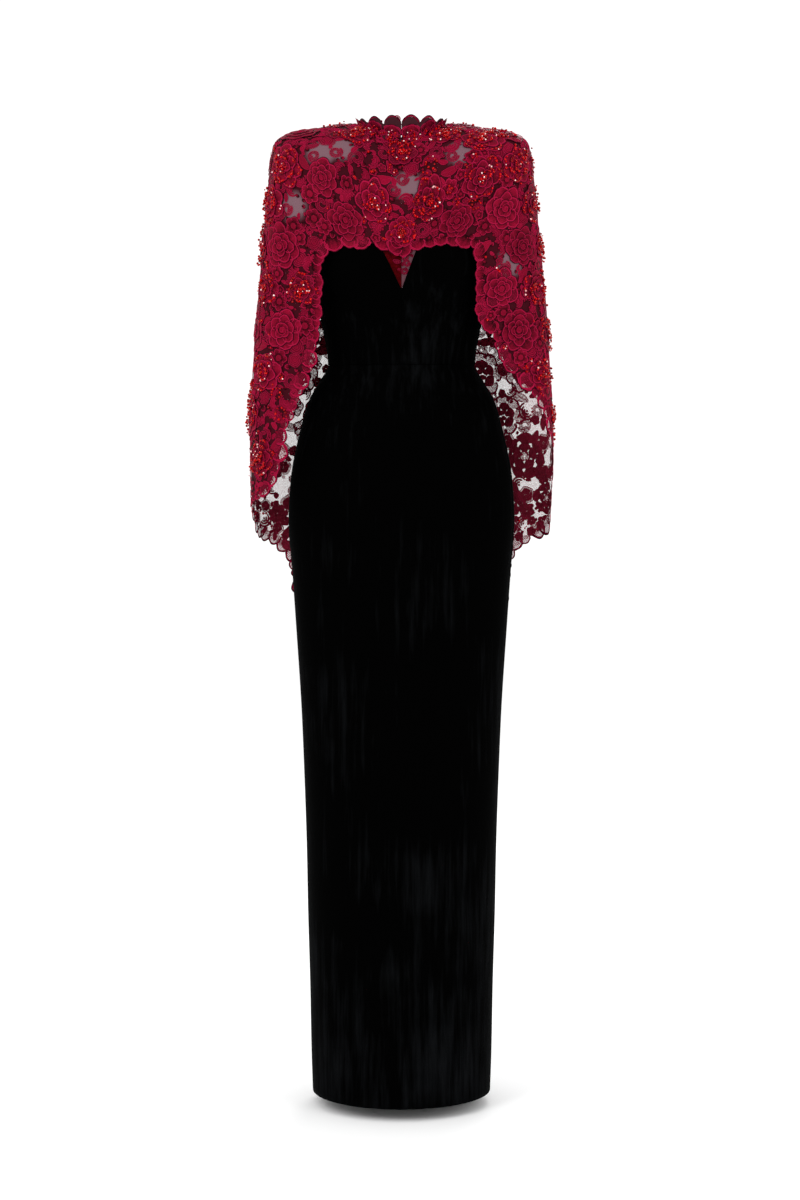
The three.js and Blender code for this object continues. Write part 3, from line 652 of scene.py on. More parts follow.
def part(points, material, shade, uv=None, flipped=False):
    """A part of a motif from its grid of points, row by row."""
    rows, columns = points.shape[0] - 1, points.shape[1] - 1
    quads = np.array(grid_faces(columns, rows, flipped))
    return {
        "points": points.reshape(-1, 3), "quads": quads, "material": np.full(len(quads), material),
        "shade": np.broadcast_to(shade, points.shape[:2]).ravel(),
        "uv": (points[..., :2] if uv is None else uv).reshape(-1, 2), "beads": np.zeros((0, 3)),
    }


def join(parts):
    starts = np.cumsum([0] + [len(p["points"]) for p in parts[:-1]])
    keys = ("points", "material", "shade", "uv", "beads")
    whole = {key: np.concatenate([p[key] for p in parts]) for key in keys}
    whole["quads"] = np.concatenate([p["quads"] + start for p, start in zip(parts, starts)])
    return whole


def with_beads(parts, spots):
    return {**join(parts), "beads": np.array(spots, float).reshape(-1, 3)}


def ring_spots(radius, count, height):
    return wheel(radius, np.linspace(0, 2 * np.pi, count, endpoint=False), height)


def rim_spots(turn, far, wide, height):
    """Five bead places along the tip of a petal."""
    aside = np.linspace(-0.5, 0.5, 5) * wide
    ahead = far * (1 - 0.1 * (2 * aside / wide) ** 2)
    return spun(aside, ahead, height, turn)


def sideways(path):
    """A unit step to the left of a flat path at each of its points."""
    ahead = np.gradient(path[:, :2], axis=0)
    ahead /= np.maximum(np.linalg.norm(ahead, axis=1, keepdims=True), 1e-6)
    return np.stack([-ahead[:, 1], ahead[:, 0], 0 * ahead[:, 0]], -1)


def cord(path, width, height, shade=1.12, painted_shadow=0.0):
    """A corded line: a ridge along a path, with painted shade at its feet. A painted shadow darkens
    the cloth just outside it, on its left.
    """
    path = np.asarray(path, float)
    aside = sideways(path) * width / 2
    outside = path + aside * (1 + 2 * painted_shadow / width) - (0, 0, 0.25)
    points = np.stack([path - aside - (0, 0, 0.2), path + (0, 0, height), outside], 1)
    far = np.concatenate([[0], np.cumsum(np.linalg.norm(np.diff(path, axis=0), axis=1))])
    # Painted shade: the feet are darker than the crest, and the edge of the painted shadow almost black.
    tone = np.array([0.7, 1, 0.05 if painted_shadow else 0.7]) * shade
    uv = np.stack([np.tile([0, 0.5, 1.0], len(far)), np.repeat(far, 3)], -1)
    return part(points, CORD, tone, uv)


def band(path, width, height, material=MESH, shade=0.9):
    """A flat band along a path, with a cord on each edge."""
    aside = sideways(path) * width[:, None] / 2
    level = path * (1, 1, 0) + (0, 0, height)
    sides = [level + k * aside for k in (-1, 1)]
    flat = part(np.stack(sides, 1), material, shade)
    return join([flat, cord(sides[0], 1.0, 0.5), cord(sides[1], 1.0, 0.5)])


def petal(turn, length, width, low, high, cup=0.5, base=0.0, material=SATIN, notch=0.0, across=5, along=4,
          corded=True, line=1.1):
    """A filled petal that widens to a round tip, with a cord round it."""
    s = np.linspace(-1, 1, across + 1)[None, :]
    t = np.linspace(0.02, 1, along + 1)[:, None]
    half = width / 2 * np.sin(np.pi * (0.1 + 0.74 * t)) ** 0.75
    x = s * half
    y = base + length * (t - 0.17 * t * t * s * s - notch * t * t * np.exp(-(s / 0.3) ** 2))
    h = low + (high - low) * t + cup * (1 - s * s) * np.sin(np.pi * np.minimum(t, 0.94))
    # Painted shade: each petal darkens towards its base, where the petals above overlap it, and at its sides,
    # where petals meet. Then each column of stitches takes a random tone.
    shade = (0.2 + 0.8 * t ** 0.7) * (1 - 0.3 * s ** 4)
    shade = shade * chance.uniform(0.72, 1.08, across + 1)
    points = spun(x, y, h, turn)
    body = part(points, material, shade, np.stack([x, y], -1))
    if not corded:
        return body
    rim = np.concatenate([points[1:, 0], points[-1, 1:-1], points[:0:-1, -1]])
    return join([body, cord(rim + (0, 0, 0.1), line, 0.5, painted_shadow=min(1.7, length * 0.09))])


def dome(radius, height, low, sides=8, shade=0.9):
    """A small filled round."""
    turn = np.linspace(0, 2 * np.pi, sides + 1)[None, :]
    far = np.array([0.08, 0.55, 1.0])[:, None] * radius
    return part(wheel(far, turn, low + height * (1 - (far / radius) ** 2)), SATIN, shade)


def make_rose(half_open):
    """A full rose of three rings of overlapping petals round a bud. Its beads follow the petals' rims.
    In a half-open one every other petal of the outer ring is mesh."""
    parts, spots = [], []
    for ring, (count, base, length, width, low, high) in enumerate((
        (7, 9, 18.5, 20, 0.4, 0.9), (6, 4.5, 14.5, 15, 0.9, 1.6), (4, 1.5, 10, 11, 1.5, 2.3),
    )):
        phase = chance.uniform(0, 6)
        for k in range(count):
            turn = phase + 2 * np.pi * (k + chance.uniform(-0.12, 0.12)) / count
            fill = MESH if half_open and ring == 0 and k % 2 else SATIN
            long = length * chance.uniform(0.82, 1.16)
            parts.append(petal(turn, long, width * chance.uniform(0.9, 1.14), low,
                               high + chance.uniform(0, 0.25), 0.5, base, fill, chance.uniform(0, 0.12)))
            spots.append(rim_spots(turn, (base + long) * 0.94, 0.62 * width, high + 1.5))
    parts.append(dome(4.2, 1.0, 2.0))
    turn = np.linspace(0, 3.4 * np.pi, 26)
    parts.append(cord(wheel(1 + turn * 0.62, turn, 2.75 - turn * 0.03), 0.9, 0.4))
    return with_beads(parts, np.concatenate([*spots, ring_spots(2.2, 5, 3.5), ring_spots(5.4, 10, 3.2)]))


def make_open_rose(*fills):
    """A rose whose rings of petals lie side by side, so that their cords show from both sides."""
    parts = []
    rings = ((7, 15.5, 12.5, 20), (5, 6, 10.5, 15), (3, 0.8, 6, 8))
    for (count, base, length, width), fill in zip(rings, fills):
        phase = chance.uniform(0, 6)
        for k in range(count):
            turn = phase + 2 * np.pi * (k + chance.uniform(-0.1, 0.1)) / count
            parts.append(petal(turn, length * chance.uniform(0.88, 1.12), width * chance.uniform(0.88, 1.08),
                               0.5, 0.8, 0.3, base, fill, chance.uniform(0, 0.1), line=1.7))
    return with_beads(parts, ring_spots(7, 10, 1.9))


def make_shell(radius, fill):
    """A shell of three nested arcs, each a corded band, over a small filled round."""
    parts = []
    for k, share in enumerate((0.9, 0.6, 0.32)):
        turn = np.linspace(-2.4 + 0.25 * k, 1.5 - 0.2 * k, 13 - 2 * k)
        wide = radius * 0.2 * np.sin(np.pi * np.linspace(0.08, 0.92, len(turn))) ** 0.5
        height = 0.6 + 0.25 * k
        parts.append(band(wheel(radius * share, turn, height), wide, height, fill if k % 2 else SATIN, 0.8))
    parts.append(dome(radius * 0.16, 0.8, 0.7, 6))
    return with_beads(parts, ring_spots(radius * 0.6, 10, 1.8))


def make_blossom(count, radius, material=SATIN):
    """A small flower of single petals."""
    parts = []
    for k in range(count):
        turn = 2 * np.pi * (k + chance.uniform(-0.08, 0.08)) / count
        width = radius * 4.6 / count * chance.uniform(0.9, 1.05)
        parts.append(petal(turn, radius * 0.86, width, 0.5, 1.1, 0.4, radius * 0.14, material, 0.06, 4, 3))
    parts.append(dome(radius * 0.36, 0.8, 1.0, 7))
    return with_beads(parts, np.concatenate([ring_spots(0.01, 1, 2.2), ring_spots(radius * 0.36, 5, 1.9)]))


def make_leaf(length, width, material=SATIN):
    """A pointed leaf with a midrib."""
    t = np.linspace(0, 1, 9)
    spine = np.stack([0.12 * length * np.sin(np.pi * t), length * (t - 0.5), 0.7 + 0 * t], -1)
    wide = width * np.sin(np.pi * (0.04 + 0.92 * t)) ** 0.8
    parts = [band(spine, wide, 0.7, material, 0.95), cord(spine + (0, 0, 0.1), 0.8, 0.45)]
    return with_beads(parts, spine[2:7:2] + (0, 0, 0.9))


def make_curl(radius, turns, width):
    """A hooked curl: a mesh band between cords that rolls in to a filled round."""
    turn = np.linspace(0, 2 * np.pi * turns, 20)
    share = turn / turn[-1]
    path = wheel(radius * (1 - 0.66 * share), turn, 0.6)
    path[:, 0] -= radius * 0.1
    wide = width * np.sin(np.pi * (0.1 + 0.8 * share)) ** 0.6
    return with_beads([band(path, wide, 0.6), cord(path + (0, 0, 0.1), 0.7, 0.4)], path[3:18:3] + (0, 0, 0.8))


def make_corded_rose(radius):
    """An open rose drawn in cord: rings of arcs over mesh."""
    turn = np.linspace(0, 2 * np.pi, 19)
    wave = 1 + 0.07 * np.cos(5 * turn)
    rings = [radius * share * wave for share in (1.0, 0.74, 0.48, 0.24)]
    parts = []
    for outer, inner in zip(rings[:-1], rings[1:]):
        fill = MESH if outer is rings[0] else SATIN
        parts.append(band(wheel((outer + inner) / 2, turn, 0.55), outer - inner, 0.55, fill, 0.72))
    parts.append(dome(radius * 0.24, 0.8, 0.7, 6))
    return with_beads(parts, ring_spots(radius * 0.74, 9, 1.5))


def make_drop(length, material=SATIN, corded=True):
    """One small petal on its own."""
    drop = petal(0, length, length * 0.8, 0.4, 0.8, 0.35, -length / 2, material, 0, 4, 3, corded)
    return with_beads([drop], [(0, length * 0.1, 1.7)])


def make_lobe(material, width=17.5, length=12.5):
    """A rounded lobe of the hem, filled or mesh inside a cord, with a second cord round it."""
    outer = petal(0, length, width, 0.3, 0.8, 0.35, -length * 0.62, material, 0, 8, 4)
    t = np.linspace(0.08, 0.92, 13) * np.pi
    rim = np.stack([-(width * 0.53) * np.cos(t), length * 0.42 * np.sin(t) - 0.6, 0.7 + 0 * t], -1)
    return with_beads([outer, cord(rim, 1.5, 0.55, 1.25)], [(0, 0, 1.6), (-3.5, -2.5, 1.6), (3.5, -2.5, 1.6)])


MOTIFS = {
    "rose": [make_rose(half_open) for half_open in 5 * (False,) + 2 * (True,)] + [
        make_open_rose(*fills) for fills in ((MESH, SATIN, MESH), (SATIN, MESH, SATIN), (MESH, SATIN, SATIN),
                                             (SATIN, SATIN, MESH), (SATIN, SATIN, SATIN))],
    "medium": [make_blossom(6, 14), make_blossom(5, 13), make_corded_rose(13.5), make_curl(11, 1.4, 5.5),
               make_curl(12, 1.15, 6.5), make_leaf(27, 13), make_leaf(25, 12, MESH), make_corded_rose(11.5),
               make_shell(13.5, SATIN), make_shell(12.5, MESH), make_blossom(5, 13.5, MESH)],
    "small": [make_blossom(5, 7.5), make_leaf(15, 7.5), make_curl(6, 1.2, 3.4), make_leaf(14, 7, MESH),
              make_drop(9.5), make_blossom(5, 6.5, MESH)],
    "tiny": [make_drop(6.5, SATIN, False), make_leaf(8.5, 4), make_drop(6, MESH, False), make_drop(5.5)],
    "curl": [make_curl(10, 1.3, 5), make_shell(10.5, MESH)],
    "lobe": [make_lobe(SATIN), make_lobe(MESH), make_lobe(SATIN, 19, 14), make_lobe(MESH, 17.5, 18)],
}

# Where the motifs go: the big roses in a half-drop layout, then smaller motifs thrown at random into
# what is left, with a few windows of bare net kept free.
def near_finder(places):
    tree = KDTree(len(places))
    for k, place in enumerate(places):
        tree.insert(place, k)
    tree.balance()
    return tree


def gaps(places, line):
    """How far each place is from the nearest one of a line."""
    tree = near_finder(line)
    return np.array([tree.find(place)[2] for place in places])


BOUNDS = across_at(-90), across_at(270)
rose_spots = []
for row in range(-1, int((CAPE["down"][-1] - ROSE_FIRST) / ROSE_DOWN) + 2):
    shift = ROSE_ACROSS / 2 if row % 2 else 0
    first, last = ((end - shift) / ROSE_ACROSS for end in BOUNDS)
    numbers = np.arange(math.ceil(first), math.floor(last) + 1)
    rose_spots += [(n * ROSE_ACROSS + shift, ROSE_FIRST + row * ROSE_DOWN) for n in numbers]
rose_spots = np.array(rose_spots, float)
neck_line = np.stack([np.linspace(*BOUNDS, 200), np.zeros(200)], -1)
cape_loop = np.concatenate([neck_line, edge_points[::-1]])
edge_places = cape_point(edge_points[:, 0], edge_points[:, 1])
neck_places = cape_point(neck_line[:, 0], neck_line[:, 1])
slit_places = cape_point(HALF_ROUND + np.zeros(14), np.linspace(0, SLIT_LENGTH, 14))
hems = near_finder(np.concatenate([edge_places, neck_places, slit_places]))
placed = []


def room_left(spots, radius, reach_in, crowding):
    """Keep the spots that lie inside the cape and clear of what is placed, one after another."""
    spots = spots[inside(spots, cape_loop)]
    places = cape_point(spots[:, 0], spots[:, 1])
    for line, share in ((edge_places, reach_in), (neck_places, 0.8), (slit_places, 1.15)):
        clear = gaps(places, line) > share * radius
        spots, places = spots[clear], places[clear]
    kept, taken = [], {}
    others = near_finder([p["place"] for p in placed])
    widest = crowding * (ROSE_RADIUS + radius)
    cell = 2 * crowding * radius
    for spot, place in zip(spots, places):
        close = others.find_range(place, widest)
        if any(gap < crowding * (placed[k]["radius"] + radius) for _, k, gap in close):
            continue
        key = tuple(np.floor(place / cell).astype(int).tolist())
        around_it = [q for a, b, c in np.ndindex(3, 3, 3)
                     for q in taken.get((key[0] + a - 1, key[1] + b - 1, key[2] + c - 1), ())]
        if any(np.linalg.norm(q - place) < cell for q in around_it):
            continue
        taken.setdefault(key, []).append(place)
        kept.append((spot, place))
    return kept


def motif_at(kind, variant, spot, size, turn, lift, place=(0, 0, 0), radius=0, tone=1):
    return {"kind": kind, "variant": int(variant), "spot": spot, "size": size, "turn": turn, "lift": lift,
            "place": place, "radius": radius, "tone": tone}


# Filled motifs lead in front, and open ones behind, so that the back is lighter. Behind the hips, near the
# lower edge, they are filled again.
FRONT_CHOICE = {
    "rose": (0, 1, 2, 3, 4, 5, 6), "medium": (0, 1, 3, 4, 5, 8, 8, 9, 7), "small": (0, 1, 2, 4, 1, 5),
    "tiny": (0, 1, 3, 0), "curl": (0, 1), "window": (0,),
}
BACK_CHOICE = {
    "rose": (7, 8, 9, 10, 11), "medium": (3, 4, 6, 9, 10, 5, 5, 0, 8, 2), "small": (2, 3, 5, 1, 0, 0),
    "tiny": (0, 2, 0, 1), "curl": (0, 1), "window": (0,),
}
BACK_HEM_CHOICE = {
    "rose": (10, 11), "medium": (0, 5, 8, 2, 7), "small": (0, 1, 4),
    "tiny": (0, 1), "curl": (0,), "window": (0,),
}
HEM_DEPTH = 92


def place_motifs(kind, kept, radius, sizes, lift):
    for spot, place in kept:
        to_hem = hems.find(place)[2]
        at_front = across_at(-90) < spot[0] < across_at(90)
        at_back = BACK_HEM_CHOICE if place[2] < 0 and to_hem < HEM_DEPTH else BACK_CHOICE
        choice = (FRONT_CHOICE if at_front else at_back)[kind]
        size = chance.uniform(*sizes)
        if kind == "rose":
            size = min(size, max(0.86, (to_hem - 1) / (1.14 * ROSE_RADIUS)))
        placed.append(motif_at(
            kind, choice[chance.integers(len(choice))], spot, size, chance.uniform(0, 2 * np.pi),
            lift + chance.uniform(0, 0.35), place, radius * size))


def thrown(count):
    return np.stack([chance.uniform(*BOUNDS, count), chance.uniform(0, CAPE["down"][-1], count)], -1)


# Six windows of bare net in front, as degrees round the cape and millimetres down it, and chance ones
# behind. A curl reaches into each from its side.
WINDOWS = ((5, 118), (-48, 94), (-54, 122), (46, 102), (-63, 226), (64, 318))
WINDOW_RADIUS, CURL_AWAY = 15, 13
front_windows = np.array([(across_at(degrees), down) for degrees, down in WINDOWS])
place_motifs("window", room_left(front_windows, 16, 1.2, 0.8), WINDOW_RADIUS, (0.9, 1.1), 0)
behind = thrown(40)
behind = behind[behind[:, 0] > across_at(92)]
place_motifs("window", room_left(behind, 16, 1.4, 1.3), WINDOW_RADIUS, (0.8, 1), 0)
windows = list(placed)
place_motifs("rose", [(np.array([0.0, 36.0]), cape_point(0, 36))], ROSE_RADIUS, (1.1, 1.1), 1.7)
for one in windows:
    aim = chance.uniform(0, 2 * np.pi)
    spot = one["spot"] + (CURL_AWAY * math.cos(aim), CURL_AWAY * math.sin(aim))
    place_motifs("curl", [(spot, cape_point(*spot))], 7, (0.85, 1), 0.75)
place_motifs("rose", room_left(rose_spots, ROSE_RADIUS, 0.62, 0.68), ROSE_RADIUS * 0.93, (0.95, 1.3), 1.0)
for kind, tries, room, reach_in, crowding, radius, sizes, lift in (
    ("medium", 9000, 12, 0.8, 0.8, 11, (0.9, 1.1), 0.75),
    ("small", 16000, 6.4, 0.8, 0.86, 6, (0.9, 1.12), 0.7),
    ("tiny", 30000, 3.3, 0.9, 0.82, 3.2, (0.95, 1.2), 0.7),
):
    place_motifs(kind, room_left(thrown(tries), room, reach_in, crowding), radius, sizes, lift)

# Uneven lobes follow one another along the lower edge.
middle = 3
while middle < len(edge_points) - 4:
    size = chance.uniform(0.85, 1.55)
    outward = math.atan2(edge_out[middle, 1], edge_out[middle, 0]) - np.pi / 2
    placed.append(motif_at(
        "lobe", chance.choice((3, 1, 3) if edge_places[middle][2] < 20 else (0, 2, 0, 2, 1)),
        edge_points[middle] + edge_out[middle] * chance.uniform(-1.5, 2.5), size,
        outward + chance.uniform(-0.25, 0.25), 0.8 + chance.uniform(0, 0.5), edge_places[middle], 8))
    middle += int(round(size * chance.uniform(4.6, 6.6)))


def drape_motifs(chosen, surface=lace_point):
    """All the chosen motifs on a draped surface, as one piece of work, and each one's bead places."""
    work = {key: [] for key in ("points", "quads", "material", "shade", "uv")}
    count = 0
    beads = []
    groups = {}
    for one in chosen:
        groups.setdefault((one["kind"], one["variant"]), []).append(one)
    for (kind, variant), ones in groups.items():
        motif = MOTIFS[kind][variant]
        spot = np.array([o["spot"] for o in ones])[:, None, :]
        keys = ("turn", "size", "lift", "tone")
        turn, size, lift, tone = (np.array([o[key] for o in ones])[:, None] for key in keys)
        level = 0 * spot[..., 0]
        wide = surface(spot[..., 0] + 2, spot[..., 1], level) - surface(spot[..., 0] - 2, spot[..., 1], level)
        tall = surface(spot[..., 0], spot[..., 1] + 4, level) - surface(spot[..., 0], spot[..., 1], level)
        wide = np.linalg.norm(wide, axis=-1) / 4
        tall = np.linalg.norm(tall, axis=-1) / 4

        def laid(local):
            x = local[None, :, 0] * np.cos(turn) - local[None, :, 1] * np.sin(turn)
            y = local[None, :, 0] * np.sin(turn) + local[None, :, 1] * np.cos(turn)
            across = spot[..., 0] + x * size / wide
            down = spot[..., 1] + y * size / tall
            return surface(across, down, lift + local[None, :, 2] * size)

        number = len(ones)
        offsets = count + np.arange(number)[:, None, None] * len(motif["points"])
        count += number * len(motif["points"])
        work["points"].append(laid(motif["points"]).reshape(-1, 3))
        work["quads"].append((motif["quads"][None] + offsets).reshape(-1, 4))
        work["material"].append(np.tile(motif["material"], number))
        tone = tone * chance.uniform(0.84, 1.06, number)[:, None]
        work["shade"].append((motif["shade"][None] * tone).ravel())
        work["uv"].append(np.tile(motif["uv"], (number, 1)))
        beads += zip(ones, laid(motif["beads"]))
    return {key: np.concatenate(lists) for key, lists in work.items()}, beads


# Materials of the lace
# Satin stitch shines along its threads, cords are a little lighter, and mesh and net are cut out by
# a fine pattern. Satin and cord darken with each point's painted shade, the front's net is painted
# dark as painted shade between the motifs, and the mesh of the back panels is painted lighter as
# light shining through it.
def thread_material(name, color, dark, roughness):
    material, nodes, skin = new_material(name)
    shade = add_node(nodes, "ShaderNodeAttribute", attribute_name="shade").outputs["Fac"]
    place = add_node(nodes, "ShaderNodeUVMap", uv_map="cloth").outputs["UV"]
    stretched = add_node(nodes, "ShaderNodeMapping", Vector=place, Scale=(420, 1500, 1)).outputs["Vector"]
    threads = noise(nodes, stretched, 1.0, 3.0, 0.6)
    # The shade attribute brings in the painted shade: where it is low the colour runs to the dark end.
    tone = worked_out(nodes, "ADD", threads, worked_out(nodes, "MULTIPLY_ADD", shade, 0.85, -0.42))
    set_inputs(skin, {
        "Base Color": tinted(nodes, tone, 0.35, 1.0, dark, color),
        "Normal": bumped(nodes, threads, 0.5, 0.0004), "Roughness": roughness, "Specular IOR Level": 0.02,
    })
    return material


def mesh_material(name, color, cell, line, random_cells, bare=None):
    """Threads of a net with open cells between them, on the piece's own UV. Where the shade rises to 1
    the net takes its bare colour."""
    material, nodes, skin = new_material(name)
    place = add_node(nodes, "ShaderNodeUVMap", uv_map="cloth").outputs["UV"]
    cells = add_node(nodes, "ShaderNodeTexVoronoi", feature="DISTANCE_TO_EDGE", Vector=place,
                     Scale=1000 / cell, Randomness=random_cells).outputs["Distance"]
    tint = tinted(nodes, noise(nodes, place, 900.0), 0.3, 0.7, tuple(0.7 * c for c in color), color)
    if bare:
        shade = add_node(nodes, "ShaderNodeAttribute", attribute_name="shade").outputs["Fac"]
        blend = add_node(nodes, "ShaderNodeMix", data_type="RGBA")
        for k, value in ((0, shade), (6, tint), (7, (*bare, 1))):
            put(blend.inputs[k], value)
        tint = blend.outputs[2]
    thread = tinted(nodes, cells, line, line + 0.03, (1, 1, 1), (0, 0, 0))
    set_inputs(skin, {"Base Color": tint, "Alpha": thread, "Roughness": 0.7, "Specular IOR Level": 0.05})
    return material


def bead_material(name, scale, dark, light, finish):
    material, nodes, skin = new_material(name)
    patches = noise(nodes, nodes.new("ShaderNodeTexCoord").outputs["Object"], scale, 1.0)
    set_inputs(skin, {"Base Color": tinted(nodes, patches, 0.35, 0.65, dark, light), **finish})
    return material


satin = thread_material("lace_satin", (0.235, 0.0024, 0.021), (0.008, 0.0002, 0.0010), 0.42)
corded = thread_material("lace_cord", (0.34, 0.0055, 0.040), (0.018, 0.0004, 0.003), 0.5)
filled = mesh_material("lace_mesh", (0.19, 0.003, 0.021), 1.5, 0.145, 0.25)
# Mesh of the back panels, painted lighter than in front as painted light shining through it.
filled_painted_backlight = mesh_material("lace_mesh_behind", (0.32, 0.005, 0.040), 1.5, 0.20, 0.25)
# The front's net is near opaque and painted dark maroon: painted shade between the motifs. In the windows of
# bare net it turns greyish lilac.
net_with_painted_shade = mesh_material("lace_net_painted_shade", (0.040, 0.0010, 0.005), 1.3, 0.43, 0.35, (0.150, 0.080, 0.097))
net = mesh_material("lace_net", (0.34, 0.022, 0.052), 1.3, 0.125, 0.35)
bead_glass = bead_material("red_beads", 240.0, (0.13, 0.0001, 0.0006), (0.52, 0.0004, 0.0015),
                           {"Roughness": 0.06, "Specular IOR Level": 0.14})
# Pale metallic beads whose near-white colour is a painted glint.
bead_glint = bead_material("beads_painted_glint", 300.0, (0.62, 0.16, 0.17), (0.98, 0.74, 0.72),
                            {"Roughness": 0.12, "Metallic": 0.55})


def add_shade(piece, values):
    layer = piece.data.attributes.new("shade", "FLOAT", "POINT")
    layer.data.foreach_set("value", np.broadcast_to(values, len(piece.data.vertices)).astype(np.float32))


def embroidery(name, work):
    piece = make_mesh(name, work["points"], work["quads"].tolist(), work["uv"] * MM)
    # The back panels take the mesh that is painted lighter as painted light shining through it.
    for material in (satin, corded, filled_painted_backlight if "back" in name else filled):
        piece.data.materials.append(material)
    piece.data.polygons.foreach_set("material_index", work["material"].astype(np.int32))
    add_shade(piece, work["shade"])
    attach(piece, "gown")
    return piece


bpy.ops.object.select_all(action="DESELECT")
bpy.ops.mesh.primitive_uv_sphere_add(segments=7, ring_count=4, radius=1)
ball = bpy.context.object
ball_points = np.array([v.co[:] for v in ball.data.vertices])
ball_faces = [list(p.vertices) for p in ball.data.polygons]
bpy.data.objects.remove(ball)


def bead_cluster(name, places, radii):
    """Beads sewn at given places, in one mesh. One in ten is a smaller pale metallic bead, painted near
    white as a painted glint.
    """
    glinting = chance.random(len(places)) < 0.10
    radii = np.where(glinting, 0.8 * radii, radii)
    points = places[:, None] + ball_points[None] * radii[:, None, None]
    faces = [[i + k * len(ball_points) for i in face] for k in range(len(places)) for face in ball_faces]
    piece = make_mesh(name, points.reshape(-1, 3), faces)
    piece.data.materials.append(bead_glass)
    piece.data.materials.append(bead_glint)
    glint_faces = np.repeat(glinting, len(ball_faces))
    piece.data.polygons.foreach_set("material_index", glint_faces.astype(np.int32))
    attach(piece, "gown")
    return piece


# Beads gather on some of the roses: at the neck, the middle of the chest, the shoulders and down the
# outside of the arms. A few lie singly on the smaller motifs.
def beaded_share(one):
    x, y, z = abs(one["place"][0]), *one["place"][1:]
    if one["kind"] == "rose":
        return 0.85 if z > 250 or (x < 70 and z > 150) or x > 190 else 0.25
    if one["kind"] == "lobe":
        return 0.10 if y < 0 and x < 60 else 0.03
    return 0.16 if (x > 180 or z > 230) else 0.07


def sewn_beads(spots, most):
    """Places for beads in rows of five on the motifs that have them. Those on the outside of the arms
    stand out a little, and the crest of the shoulders is left almost bare."""
    row, rows_kept, beads_kept, crest_kept = 5, 0.68, 0.9, 0.15
    stand, arm_side = 1.8, 185
    sewn = []
    for one, own in spots:
        if chance.random() < beaded_share(one):
            rows = np.repeat(chance.random(len(own) // row + 1) < rows_kept, row)[:len(own)]
            chosen = own[rows & (chance.random(len(own)) < beads_kept)]
            chosen = chosen + chance.normal(0, 0.8, chosen.shape) * (1, 0, 1)
            stands = chance.uniform(0, stand, (len(chosen), 1)) * (abs(one["place"][0]) > arm_side)
            outwards = chosen * (1, 1, 0) / np.linalg.norm(chosen[:, :2], axis=1)[:, None]
            sewn += list(chosen + stands * outwards)
    sewn = np.array(sewn)
    sewn = sewn[chance.permutation(len(sewn))[:most]]
    crest = (np.abs(sewn[:, 1]) < 38) & (sewn[:, 2] > 280) & (np.abs(sewn[:, 0]) > 70)
    return sewn[~crest | (chance.random(len(sewn)) < crest_kept)]


# Beside the skirt the back's lace is more open: most small motifs are left out there, so the larger ones
# stand clear on the net.
def left_open(one):
    x, y, z = one["place"]
    beside = y > -40 and abs(x) > 105 and -210 < z < 130
    share_kept = {"small": 0.58, "tiny": 0.25}.get(one["kind"], 1)
    across, down = one["spot"]
    lot = (7.13 * across + 3.71 * down) % 1
    return beside and lot > share_kept


# Each panel's grid is finer in front. The net lies a little over the draped surface, and its bare colour
# fades out between 17 and 26 mm from a window's middle. Away from the windows the front's net keeps its
# painted shade.
NET_LIFT, BEAD_RADII = 0.7, (1.2, 2.25)
for node, first, last, slit_side, pitch, ground, flat, area, most in (
    ("cape_front", -90, 90, 0, 6, net_with_painted_shade, (0.54, 0.72), 0.23, 2300),
    ("cape_back_right", 90, 180, 1, 7.5, net, (0.30, 0.98), 0.24, 800),
    ("cape_back_left", 180, 270, -1, 7.5, net, (0.30, 0.98), 0.24, 800),
):
    flat_points, faces = fill_flat(panel_outline(first, last, slit_side), pitch)
    draped = lace_point(flat_points[:, 0], flat_points[:, 1], np.full(len(flat_points), NET_LIFT))
    shell = make_mesh(f"{node}_net", draped, [f[::-1] for f in faces], flat_points * MM)
    shell.data.materials.append(ground)
    add_shade(shell, np.clip(2.9 - gaps(draped, [one["place"] for one in windows]) / 9, 0, 1))
    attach(shell, "gown")
    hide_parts(node)
    left, right = across_at(first), across_at(last)
    mine = [p for p in placed if p["kind"] in MOTIFS and left <= p["spot"][0] < right]
    if slit_side:
        mine = [p for p in mine if not left_open(p)]
    stitched, spots = drape_motifs(mine)
    work = embroidery(f"{node}_embroidery", stitched)
    sewn = sewn_beads(spots, most)
    beads = bead_cluster(f"{node}_beads", sewn, chance.uniform(*BEAD_RADII, len(sewn)))


# Stand collar
# A band of net under the same lace, with fourteen rounded loops along its top and an opening at centre
# back. The net dips between the loops, and beads lie thick on it in front.
COLLAR_FRONT, COLLAR_SIDE, COLLAR_BACK, COLLAR_LOOPS, LOOP_DEPTH = 365, 388, 398, 14, 6
COLLAR_LEAN, COLLAR_SUNK, NECK_ROUND = 3, 2, 66
COLLAR_HIGH, COLLAR_LOW, COLLAR_GAP = 26, 17, 0.15
NET_LEVEL, NET_WAVE = 0.5, 0.36


def loop_wave(turn):
    return np.abs(np.sin(np.pi * COLLAR_LOOPS * (turn - 180) / 360))


def collar_point(turn, share, lift, loops=True):
    degrees = turn - 360 * np.floor((turn + 90) / 360)
    neck = cape_point(across_at(degrees), 0 * turn)
    side = np.sin(np.radians(turn)) ** 2
    centre = np.where(np.cos(np.radians(turn)) > 0, COLLAR_FRONT, COLLAR_BACK)
    wave = LOOP_DEPTH * (loop_wave(turn) if loops else 0.35)
    top = COLLAR_SIDE * side + centre * (1 - side) + wave - LOOP_DEPTH
    foot = neck[..., 2] - COLLAR_SUNK
    lean = COLLAR_LEAN * np.maximum(0, share - 1 / 3) * 1.5
    radius = np.hypot(neck[..., 0], neck[..., 1]) - 1.6 * SEAM - LACE + lean + lift
    return around(radius, np.radians(turn), foot + (top - foot) * share)


